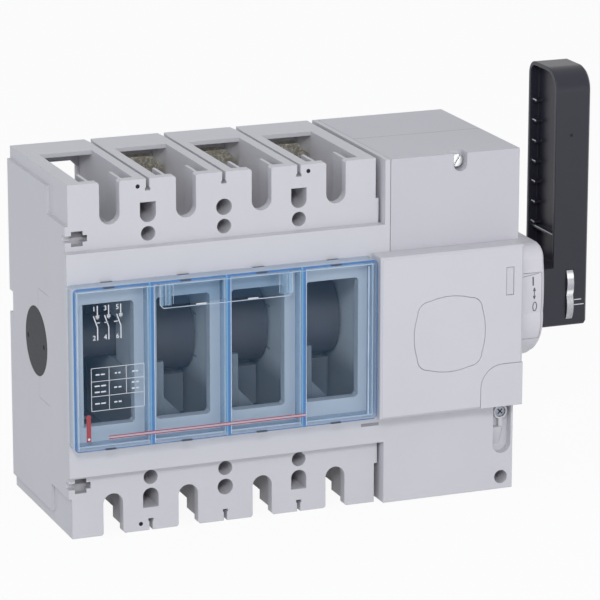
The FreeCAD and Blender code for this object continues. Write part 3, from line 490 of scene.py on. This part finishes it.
DIGIT_SHARE = 0.7  # a digit's height as a share of the text size


def figure(name, body, place, height, y, thick):
    """A printed number, turned into a mesh before it is put in place."""
    select_only()
    bpy.ops.object.text_add(rotation=UPRIGHT)
    item = bpy.context.object
    item.data.body = body
    item.data.size = height / DIGIT_SHARE * MM
    item.data.extrude = thick / 2 * MM
    item.data.offset = height * 0.02 * MM
    item.data.align_x = "CENTER"
    item.data.align_y = "CENTER"
    bpy.ops.object.convert(target="MESH")
    item = bpy.context.object
    item.location = mm(place[0], y - thick / 2, place[1])
    return settle(item, name)


def ring(name, place, radius, width, y, thick):
    """A flat printed ring on a front face."""
    select_only()
    bpy.ops.mesh.primitive_torus_add(major_radius=radius * MM, minor_radius=width / 2 * MM,
                                     major_segments=32, minor_segments=6, rotation=UPRIGHT,
                                     location=mm(place[0], y - thick / 2, place[1]))
    item = bpy.context.object
    item.scale = (1.0, 1.0, thick / width)
    return settle(item, name)


DIMPLE_LIFT = 0.02  # keeps a disc clear of the face behind it, and its middle clear of its rim


def dimple(name, place, radius, facing):
    """A disc with an inset rim, painted dark as the shade inside a small hole. It faces front or left."""
    select_only()
    turn = {"front": UPRIGHT, "left": (0.0, math.radians(-90.0), 0.0)}[facing]
    lift = {"front": (0.0, -DIMPLE_LIFT, 0.0), "left": (-DIMPLE_LIFT, 0.0, 0.0)}[facing]
    bpy.ops.mesh.primitive_circle_add(vertices=24, radius=radius * MM, fill_type="NGON",
                                      location=mm(*place), rotation=turn)
    item = bpy.context.object
    settle(item, name)
    bpy.ops.object.mode_set(mode="EDIT")
    bpy.ops.mesh.select_all(action="SELECT")
    bpy.ops.mesh.inset(thickness=radius * 0.16 * MM, depth=0.0)
    bpy.ops.transform.translate(value=mm(*lift))
    bpy.ops.object.mode_set(mode="OBJECT")
    return item


def together(name, items):
    """Joins what was printed or moulded in one go."""
    select_only(*items)
    bpy.ops.object.join()
    item = bpy.context.object
    item.name = name
    item.data.name = name
    return item


def dress(item, material, body):
    """The finish of a new piece and the body that carries it."""
    paint(material, item)
    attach(item, body)
    return item


print("makers ready")

# %% [markdown]
# Inks are thin and uneven: they are a little paler where the screen left less of them.
# The same recipe gives the flat colours of painted shade in hollows.

# %% Inks and painted shade of hollows
def ink(name, colour, rough=0.5, specular=0.5):
    bench = Bench(name)
    speck = bench.noise(0.6, 3.0, 0.6)
    tone = bench.blend(speck, tuple(c * 0.88 for c in colour),
                       tuple(min(1.0, c * 1.10) for c in colour))
    return bench.finish({"Base Color": tone, "Roughness": rough - 0.1 + speck * 0.2,
                         "Specular IOR Level": specular})


# white print ink, also used for painted highlights
white_ink_and_highlight = ink("white ink and painted highlight", (0.66, 0.68, 0.72))
red_ink = ink("red ink", (0.33, 0.045, 0.06))
pink_ink = ink("pale ink between the red lines", (0.44, 0.40, 0.48))
grey_ink = ink("dark grey ink", (0.11, 0.115, 0.13))
# painted shade: a grey for a shallow ledge and dark colours for holes, recesses and slots; the dark also
# draws a seam
ledge_shade = ink("painted shade of a shallow ledge", (0.27, 0.275, 0.31))
hollow = ink("painted shade of holes, and dark seams", (0.028, 0.029, 0.034), 0.8, 0.05)
snap_slot_shade = ink("painted shade of the snap slots", (0.035, 0.05, 0.09), 0.4)
print("inks ready")

# %% [markdown]
# ## Print on the first pane
# The pane carries the circuit symbol of the poles, three contacts with their terminal
# numbers, and a small table with plain dashes in its fields. A red bar and a red double
# line are on the same print.

# %% Symbols, table and red lines
PRINT_Y = cover_low[1] - 0.02
FILM = 0.05
SYMBOL_X = (-78.6, -72.3, -65.5)
SYMBOL_TOP, FIXED, TIP, KNEE, SYMBOL_LOW = 36.3, 31.0, 30.8, 24.2, 17.2
LINK_Z = 26.8
LINK_ENDS = ((-0.9, 1.4), (-2.4, -0.4), (-3.9, -1.6))
NUMBER_HEIGHT, NUMBER_SHIFT = 2.6, -1.9
UPPER_NUMBER_Z, LOWER_NUMBER_Z = 34.6, 18.5
THIN = 0.5


def line(start, end, width=0.6):
    return stroke("line", start, end, width, PRINT_Y, FILM)


def number(body, x, z):
    return figure("number", str(body), (x + NUMBER_SHIFT, z), NUMBER_HEIGHT, PRINT_Y, FILM)


symbols = []
for k, x in enumerate(SYMBOL_X):
    symbols += [
        line((x, SYMBOL_TOP), (x, FIXED)),
        line((x - 1.0, FIXED - 0.4), (x + 1.0, FIXED - 0.4)),
        line((x - 0.9, FIXED - 1.0), (x, FIXED - 2.2), THIN),
        line((x + 0.9, FIXED - 1.0), (x, FIXED - 2.2), THIN),
        line((x, FIXED - 0.5), (x, FIXED - 1.9), 1.0),
        line((x - 2.3, TIP), (x, KNEE)),
        line((x, KNEE), (x, SYMBOL_LOW)),
        number(2 * k + 1, x, UPPER_NUMBER_Z),
        number(2 * k + 2, x, LOWER_NUMBER_Z)]
for x, (left, right) in zip(SYMBOL_X, LINK_ENDS):
    symbols.append(line((x + left, LINK_Z), (x + right, LINK_Z), THIN))
dress(together("pole_symbols", symbols), white_ink_and_highlight, "case")

TABLE_X = (-82.5, -72.5, -62.8, -52.7)
TABLE_Z = (1.8, -5.6, -13.9, -22.0)
TABLE_LINE, DASH_WIDTH, DASH_GAP = 0.32, 0.8, 0.35
lines = [line((TABLE_X[0], z), (TABLE_X[-1], z), TABLE_LINE) for z in TABLE_Z]
lines += [line((TABLE_X[k], TABLE_Z[0]), (TABLE_X[k], TABLE_Z[-1]), TABLE_LINE) for k in (0, 1, 3)]
lines.append(line((TABLE_X[2], TABLE_Z[0]), (TABLE_X[2], TABLE_Z[2]), TABLE_LINE))
# column, height and length of each pair of dashes
DASHES = [(0, -1.9, 5.2), (1, -1.9, 3.2), (2, -1.9, 3.4), (0, -8.2, 6.4), (0, -11.6, 6.4),
          (1, -9.8, 4.2), (2, -8.0, 4.0), (2, -11.4, 4.0), (0, -18.0, 6.0), (1, -18.0, 4.2)]
for column, z, length in DASHES:
    middle = (TABLE_X[column] + TABLE_X[column + 1]) / 2
    lines.append(line((middle - length / 2, z), (middle - DASH_GAP, z), DASH_WIDTH))
    lines.append(line((middle + DASH_GAP, z), (middle + length / 2, z), DASH_WIDTH))
dress(together("rating_table", lines), white_ink_and_highlight, "case")

RED_X, RED_LINE_Z = (-73.0, 40.7), -37.6
bands = [line((RED_X[0], RED_LINE_Z + side), (RED_X[1], RED_LINE_Z + side), THIN)
         for side in (0.75, -0.75)]
dress(together("red_double_line", bands), red_ink, "case")
dress(bar("red_line_middle", RED_X, (PRINT_Y - FILM / 2, PRINT_Y), (RED_LINE_Z - 0.5, RED_LINE_Z + 0.5)),
      pink_ink, "case")
dress(together("red_bar", [line((-84.3, -38.9), (-84.3, -24.0), 2.5)]), red_ink, "case")
dress(ring("bar_dot", (-84.2, -37.5), 0.35, 0.7, PRINT_Y - FILM, 0.04), white_ink_and_highlight, "case")
print("prints on the pane:", len(symbols), "strokes in the symbols,", len(lines), "in the table")

# %% [markdown]
# ## Snap hooks of the window cover
# The cover holds on by hooks, a pair at the top and a pair at the bottom of each pane: one
# in the notch next to the case and one at the front rim. They are dark bars, painted shade of their slots.

# %% Snap hooks
NOTCH_X = [-69.8 + k * POLE_PITCH for k in range(4)]
NOTCH_HALF, FRONT_HALF, FRONT_SHIFT = 3.3, 3.0, -2.0
hooks = []
for x in NOTCH_X:
    front_x = x + FRONT_SHIFT
    for edge, inward in ((cover_high[2], -1.0), (cover_low[2], 1.0)):
        hooks.append(bar("hook", (x - NOTCH_HALF, x + NOTCH_HALF),
                         (cover_high[1] - 1.7, cover_high[1] - 0.1), (edge, edge + inward * 1.1), 0.15))
        hooks.append(bar("hook", (front_x - FRONT_HALF, front_x + FRONT_HALF),
                         (cover_low[1] - 0.03, cover_low[1] + 1.0),
                         (edge + inward * 0.1, edge + inward * 1.0), 0.1))
# the hooks carry painted shade: dark blue, as their slots look through the cover
dress(together("snap_hooks", hooks), snap_slot_shade, "case")
print("snap hooks:", len(hooks))

# %% [markdown]
# ## Glints of the clear cover
# The middle panes carry a clear pocket for a label. Its walls are only a millimetre thick,
# so what shows of them is a set of bright lines: the lower edge, the two ends and their
# corners, and two short highlights. The dividers and the outer edges have bright lines too.
# At its ends the pocket is thicker, so a faintly streaked film lies over them.

# %% Glints
GLINT_Y = cover_low[1] - 0.01
POCKET_LEFT, POCKET_RIGHT, POCKET_LOW = -43.2, 33.0, 31.1
pocket_top = cover_high[2] - 1.6
POCKET_CORNER = 2.0


def glint(start, end, width):
    return stroke("glint", start, end, width, GLINT_Y, 0.04)


def upright_glint(x, low, high, width):
    return glint((x, low), (x, high), width)


corner_z = POCKET_LOW + POCKET_CORNER
corner_left, corner_right = POCKET_LEFT + POCKET_CORNER, POCKET_RIGHT - POCKET_CORNER
glints = [glint((corner_left, POCKET_LOW), (corner_right, POCKET_LOW), 0.45),
          glint((corner_left, POCKET_LOW), (POCKET_LEFT, corner_z), 0.4),
          glint((corner_right, POCKET_LOW), (POCKET_RIGHT, corner_z), 0.4)]
for inset, width in ((0.0, 0.45), (3.3, 0.35), (7.5, 0.3)):
    for x in (POCKET_LEFT + inset, POCKET_RIGHT - inset):
        glints.append(upright_glint(x, corner_z, pocket_top, width))
for place in DIVIDERS:
    for x, width in ((place + 1.5, 0.4), (place - 2.2, 0.22)):
        glints.append(upright_glint(x, cover_low[2] + 1.6, cover_high[2] - 1.6, width))
glints.append(upright_glint(cover_high[0] - 5.6, cover_low[2] + 3.0, cover_high[2] - 3.0, 0.8))
glints.append(upright_glint(cover_low[0] + 2.0, cover_low[2] + 1.8, cover_high[2] - 1.8, 0.35))
top_z = cover_high[2] - 2.0
glints.append(glint((cover_low[0] + 1.8, top_z), (cover_high[0] - 1.8, top_z), 0.3))


def glint_finish():
    bench = Bench("glint of clear plastic")
    fade = bench.noise(16.0, 2.0)
    tone = bench.blend(fade, (0.45, 0.62, 0.84), (0.78, 0.86, 0.94))
    return bench.finish({"Base Color": tone, "Roughness": 0.2, "Alpha": 0.25 + fade * 0.6})


dress(together("cover_glints", glints), glint_finish(), "case")


def pocket_film():
    bench = Bench("thick ends of the pocket")
    streak = bench.noise(3.0, 2.0, 0.5, (1.0, 1.0, 0.02))
    tone = bench.blend(streak, (0.20, 0.42, 0.70), (0.55, 0.75, 0.92))
    return bench.finish({"Base Color": tone, "Roughness": 0.2,
                         "Alpha": 0.12 + streak.above(0.45, 0.3) * 0.28})


film = pocket_film()
END_INSETS = (0.4, 6.6)
HIGHLIGHT_X, HIGHLIGHT_HALF = (-19.7, 10.1), 3.0
pocket_ends = (tuple(POCKET_LEFT + inset for inset in END_INSETS),
               tuple(POCKET_RIGHT - inset for inset in reversed(END_INSETS)))
for count, ends in enumerate(pocket_ends, start=1):
    dress(bar("pocket_end_%d" % count, ends, (GLINT_Y - 0.006, GLINT_Y - 0.001),
              (POCKET_LOW + 1.4, pocket_top)), film, "case")
for count, x in enumerate(HIGHLIGHT_X, start=1):
    dress(bar("pocket_highlight_%d" % count, (x - HIGHLIGHT_HALF, x + HIGHLIGHT_HALF),
              (GLINT_Y - 0.05, GLINT_Y - 0.01), (POCKET_LOW + 0.3, POCKET_LOW + 1.0)),
          white_ink_and_highlight, "case")
print("glints:", len(glints))

# %% [markdown]
# ## Lining of the first window
# The room of the empty position has a narrow lining along the left edge of its window.

# %% Window lining
case_low, case_high = box_mm("pole_cover")
CHAMBER_HEIGHT, WINDOW_RIM = 36.5, 28.3  # what lies above a window, up to the case's top
LINING_X, LINING_FRONT, LINING_REAR = (-85.4, -82.9), -5.4, 2.8
window_half = case_high[2] - CHAMBER_HEIGHT - WINDOW_RIM
dress(bar("window_lining", LINING_X, (case_low[1] + LINING_FRONT, case_low[1] + LINING_REAR),
          (-window_half, window_half), 0.3), case_grey, "case")
print("lining, half height:", round(window_half, 1), "front of the case at", round(case_low[1], 1))

# %% [markdown]
# ## Arc guides in the rooms
# At the lower left of each room of a fitted pole stands a moulded guide that leads the arc
# away: a post along the wall and a foot whose top is cut to a slope. It shows as a paler
# step behind the window.

# %% Arc guides
ROOM_LEFTS = [-38.2 + k * POLE_PITCH for k in range(3)]
GUIDE_FRONT, GUIDE_REAR, GUIDE_LOW = -92.0, -88.5, -55.5
POST_WIDTH, POST_TOP = 6.6, -7.0
FOOT_START, FOOT_END, FOOT_TOP = 6.4, 19.0, -27.0
SLOPE_TOP, SLOPE_NORMAL = -27.5, (1.0, 0.0, 0.95)
guide_grey = moulding("guide grey", (0.25, 0.255, 0.27), rough=0.6, cloud=0.15)
for count, left in enumerate(ROOM_LEFTS, start=1):
    post = bar("post", (left, left + POST_WIDTH), (GUIDE_FRONT, GUIDE_REAR), (GUIDE_LOW, POST_TOP), 0.6)
    foot = bar("foot", (left + FOOT_START, left + FOOT_END), (GUIDE_FRONT, GUIDE_REAR - 0.2),
               (GUIDE_LOW, FOOT_TOP))
    select_only(foot)
    bpy.ops.object.mode_set(mode="EDIT")
    bpy.ops.mesh.select_all(action="SELECT")
    bpy.ops.mesh.bisect(plane_co=mm(left + FOOT_START, 0.0, SLOPE_TOP), plane_no=SLOPE_NORMAL,
                        use_fill=True, clear_outer=True)
    bpy.ops.object.mode_set(mode="OBJECT")
    dress(together("arc_guide_%d" % count, [post, foot]), guide_grey, "case")
print("arc guides:", len(ROOM_LEFTS))

# %% [markdown]
# ## Small hollows of the case
# Pin holes at three corners of the case front, two holes in the side cap, a shallow ledge
# under the last window, and the seam across the top of the upper right cover. The holes and
# the ledge are drawn as painted shade.

# %% Hollows and seams
PIN_HOLES, PIN_RADIUS = ((-49.2, 95.0), (49.0, 95.1), (-49.4, -95.0)), 1.2
CAP_HOLES_Y, CAP_HOLES_Z, CAP_HOLE_RADIUS = (-33.7, -62.0), -1.1, 1.4
LEDGE_X, LEDGE_Z = (78.2, 89.0), (-52.4, -50.4)
for count, (x, z) in enumerate(PIN_HOLES, start=1):
    dress(dimple("pin_hole_%d" % count, (x, case_low[1] - DIMPLE_LIFT, z), PIN_RADIUS, "front"),
          hollow, "case")
cap_left = box_mm("side_cap")[0][0]
for count, y in enumerate(CAP_HOLES_Y, start=1):
    dress(dimple("cap_hole_%d" % count, (cap_left - DIMPLE_LIFT, y, CAP_HOLES_Z), CAP_HOLE_RADIUS, "left"),
          hollow, "case")
band_front = cover_high[1]
# painted shade of the shallow ledge, as a grey bar
dress(bar("band_slot", LEDGE_X, (band_front - 0.05, band_front + 0.5), LEDGE_Z, 0.2),
      ledge_shade, "case")
aux_low, aux_high = box_mm("auxiliary_cover")
seam_y = (aux_low[1] + aux_high[1]) / 2
dress(bar("cover_seam", (aux_low[0] + 0.3, aux_high[0] - 0.3), (seam_y - 0.15, seam_y + 0.15),
          (aux_high[2] - 0.4, aux_high[2] + 0.02), 0.1), hollow, "case")
print("hollows and seam made")

# %% [markdown]
# ## Screw recesses
# The cover screw has its slot already. The small screw in the lower right slot has a cross
# recess: two thin bars let into its head, painted dark as the shade inside it.

# %% Cross recess
screw_low, screw_high = box_mm("fixing_screw")
screw_x = (screw_low[0] + screw_high[0]) / 2
screw_z = (screw_low[2] + screw_high[2]) / 2
ARM_HALF_LENGTH, ARM_HALF_WIDTH = 2.0, 0.42
arms = [bar("arm", (screw_x - ARM_HALF_LENGTH, screw_x + ARM_HALF_LENGTH),
            (screw_low[1] - 0.03, screw_low[1] + 0.5),
            (screw_z - ARM_HALF_WIDTH, screw_z + ARM_HALF_WIDTH), 0.12, turn) for turn in (45.0, 135.0)]
# painted shade of the cross recess
dress(together("cross_recess", arms), hollow, "case")
print("cross recess at", round(screw_x, 1), round(screw_z, 1))

# %% [markdown]
# ## Marks of the handle positions
# The label on the hub shows where the handle points: I is on and O is off, with a double
# arrow between them. The marks are laid on the label's slight curve by projecting them
# onto it, and then given a film's thickness. A thin line frames the label.

# %% Position marks
label_low, label_high = box_mm("hub_label")
LABEL_Y = label_low[1] - 1.0


def flat_stroke(start, end, width):
    """A subdivided strip in front of the label, to be laid on it."""
    select_only()
    dx, dz = end[0] - start[0], end[1] - start[1]
    middle = mm((start[0] + end[0]) / 2, LABEL_Y, (start[1] + end[1]) / 2)
    bpy.ops.mesh.primitive_grid_add(x_subdivisions=12, y_subdivisions=2, size=1.0,
                                    location=middle, rotation=UPRIGHT)
    item = bpy.context.object
    item.scale = (math.hypot(dx, dz) * MM, width * MM, 1.0)
    item.rotation_euler = (UPRIGHT[0], -math.atan2(dz, dx), 0.0)
    return settle(item, "strip")


def lay_on_label(name, items):
    """Projects the strips onto the label and gives them a film's thickness."""
    item = together(name, items)
    wrap = item.modifiers.new("wrap", "SHRINKWRAP")
    wrap.target = NODES["hub_label"]
    wrap.wrap_method = "PROJECT"
    wrap.use_project_y = True
    wrap.use_negative_direction = True
    wrap.use_positive_direction = True
    wrap.offset = 0.04 * MM
    bpy.ops.object.modifier_apply(modifier=wrap.name)
    thick = item.modifiers.new("film", "SOLIDIFY")
    thick.thickness = 0.03 * MM
    bpy.ops.object.modifier_apply(modifier=thick.name)
    return dress(item, grey_ink, "case")


def arc_strokes(centre, radius, width, count):
    points = [(centre[0] + radius[0] * math.cos(2 * math.pi * k / count),
               centre[1] + radius[1] * math.sin(2 * math.pi * k / count)) for k in range(count)]
    return [flat_stroke(points[k], points[(k + 1) % count], width) for k in range(count)]


ON_X, ARROW_X, OFF_X = 193.7, 194.5, 195.0
ON_Z, ARROW_Z, OFF_Z = (11.9, 17.0), (4.4, 10.1), -0.6
strips = [flat_stroke((ON_X, ON_Z[0]), (ON_X, ON_Z[1]), 0.9),
          flat_stroke((ARROW_X, ARROW_Z[0]), (ARROW_X, ARROW_Z[1]), 0.55)]
for tip, base in ((ARROW_Z[1] + 0.5, 8.6), (ARROW_Z[0] - 0.5, 5.9)):
    strips += [flat_stroke((ARROW_X, tip), (ARROW_X + side, base), 0.5) for side in (0.7, -0.7)]
strips += arc_strokes((OFF_X, OFF_Z), (1.15, 2.7), 0.6, 16)
lay_on_label("position_marks", strips)
left, low, top = label_low[0] + 0.6, label_low[2] + 0.8, label_high[2] - 2.2
lay_on_label("label_frame", [
    flat_stroke((left, low), (left, top), 0.3),
    flat_stroke((left, top), (label_high[0] - 1.6, label_high[2] - 0.35), 0.25)])
print("marks laid on the label")

# %% [markdown]
# ## Handle details
# A small dot on the front of the lever, two thin pale lines beside the padlock tab as painted
# highlights on slot edges, and painted highlights along the edges of the ribs in its hollow side.

# %% Dot and lines of the handle
lever_low, lever_high = box_mm("handle_lever")
DOT_X, DOT_Z, DOT_RADIUS = 224.2, 93.3, 1.0
dress(dimple("lever_dot", (DOT_X, lever_low[1] - DIMPLE_LIFT, DOT_Z), DOT_RADIUS, "front"),
      hollow, "handle")
LINE_START, LINE_END, LINES_Z = 228.0, 231.0, (-4.1, -7.1)
for count, z in enumerate(LINES_Z, start=1):
    # painted highlights along the edges of two small slots
    dress(bar("lever_slot_%d" % count, (LINE_START, LINE_END + count * 1.6),
              (lever_low[1] - 0.03, lever_low[1] + 0.6), (z - 0.3, z + 0.3), 0.1),
          white_ink_and_highlight, "handle")

LEVER_THICK, LEVER_WALL = 21.7, 2.2
FIRST_RIB, RIB_STEP, RIB_COUNT = 35.9, 12.0, 7
CROSS_RIB_Z = (34.1, 34.75)
lever_left = lever_high[0] - LEVER_THICK
rib_rear = lever_high[1] - LEVER_WALL
edge_x = (lever_left + 1.42, lever_left + 1.55)
ribs = [FIRST_RIB + RIB_STEP * k for k in range(RIB_COUNT)]
# painted highlights on the upper edges of the ribs and the cross rib
edges = [bar("edge", edge_x, (rib_rear - 5.0, rib_rear - 0.4), (z + 0.2, z + 0.85)) for z in ribs]
edges.append(bar("edge", edge_x, (lever_low[1] + 4.5, rib_rear - 6.0), CROSS_RIB_Z))
dress(together("lever_rib_edges", edges), white_ink_and_highlight, "handle")
print("handle details made, rib edges:", len(edges))

# %% [markdown]
# ## Studio
# The floor and the room behind are white to the camera, and to reflections and to what is
# seen through clear plastic, but they light the object at a plain level. Light Path tells
# the rays apart. The floor keeps part of its real shading, so the shadow shows.

# %% Floor and world
def seen_directly(bench):
    """1 for rays from the camera, from mirrors and through clear plastic."""
    path = bench.node("ShaderNodeLightPath", {}, {}, "Is Camera Ray").socket.node
    return Wire(bench, path.outputs["Is Camera Ray"]).high(
        Wire(bench, path.outputs["Is Glossy Ray"])).high(Wire(bench, path.outputs["Is Transmission Ray"]))


WHITE = (1.0, 1.0, 1.0, 1.0)
PAPER_SHARE = 0.93  # the rest of the floor's look is its real shading
floor_z = float(cad_box[0][2])
bpy.ops.mesh.primitive_plane_add(size=8.0, location=(0.0, 0.0, floor_z))
floor = bpy.context.object
floor.name = "studio_floor"
bench = Bench("studio white")
lit = bench.node("ShaderNodeBsdfDiffuse", {}, {"Color": (0.86, 0.86, 0.87, 1.0)})
white = bench.node("ShaderNodeEmission", {}, {"Color": WHITE, "Strength": 1.0})
share = seen_directly(bench) * PAPER_SHARE
paint(bench.output(bench.node("ShaderNodeMixShader", {}, {0: share, 1: lit, 2: white})), floor)

bench = Bench("studio room", world=True)
bpy.context.scene.world = bench.owner
room = bench.node("ShaderNodeBackground", {}, {"Color": (0.93, 0.96, 1.0, 1.0), "Strength": 0.55})
paper = bench.node("ShaderNodeBackground", {}, {"Color": WHITE, "Strength": 1.0})
mixed = bench.node("ShaderNodeMixShader", {}, {0: seen_directly(bench), 1: room, 2: paper})
bench.node("ShaderNodeOutputWorld", {}, {"Surface": mixed})
print("floor at", round(floor_z / MM, 2), "mm")

# %% [markdown]
# Four soft lamps do the rest. A strong one above the camera makes the front the brightest
# side, a broad weak one hangs over the object, a cool one stands on the left, and a small
# one low in front lifts the lower part of the box. Their places are in metres.

# %% Lamps
def soft_lamp(name, place, target, width, power, colour=(1.0, 1.0, 1.0)):
    bpy.ops.object.light_add(type="AREA", location=place)
    lamp = bpy.context.object
    lamp.name = name
    lamp.data.shape = "DISK"
    lamp.data.size = width
    lamp.data.energy = power
    lamp.data.color = colour
    lamp.rotation_euler = (Vector(target) - Vector(place)).to_track_quat("-Z", "Y").to_euler()


soft_lamp("front lamp", (-0.75, -2.0, 1.2), (0.05, 0.0, 0.0), 0.5, 16.7)
soft_lamp("top lamp", (0.1, -0.2, 2.0), (0.05, 0.0, 0.0), 1.4, 1.2)
soft_lamp("left lamp", (-2.0, -0.8, 0.7), (0.0, 0.0, 0.0), 1.2, 4.2, (0.84, 0.91, 1.0))
soft_lamp("low lamp", (0.35, -1.1, 0.0), (0.08, 0.0, -0.06), 0.5, 1.9)

# %% [markdown]
# ## Camera
# The photograph was taken from far off with a long lens, from the left and a little above.
# The place, the two angles and the shift of the frame were fitted to the edges of the case.
# Most of the photograph's shift was given up for a small turn of the camera, because the
# other views keep the shift and would lose part of the object.

# %% Camera
YAW, PITCH, LENS = 21.3697, 14.8396, 217.44
SHIFT_X, SHIFT_Y = 0.0199, -0.0455
CAMERA_PLACE = mm(-660.8, -1886.1, 546.5)
bpy.ops.object.camera_add(location=CAMERA_PLACE)
camera = bpy.context.object
camera.name = "studio_camera"
camera.data.lens = LENS
camera.data.sensor_width = 36.0
camera.data.shift_x = SHIFT_X
camera.data.shift_y = SHIFT_Y
camera.data.clip_start = 0.05
camera.data.clip_end = 30.0
yaw, pitch = math.radians(YAW), math.radians(PITCH)
forward = Vector((math.sin(yaw) * math.cos(pitch), math.cos(yaw) * math.cos(pitch), -math.sin(pitch)))
camera.rotation_euler = forward.to_track_quat("-Z", "Y").to_euler()
scene = bpy.context.scene
scene.camera = camera
scene.view_settings.view_transform = "Standard"
print("camera looks along", [round(v, 3) for v in forward])

# %% [markdown]
# ## End

# %% Finish
print("finished")
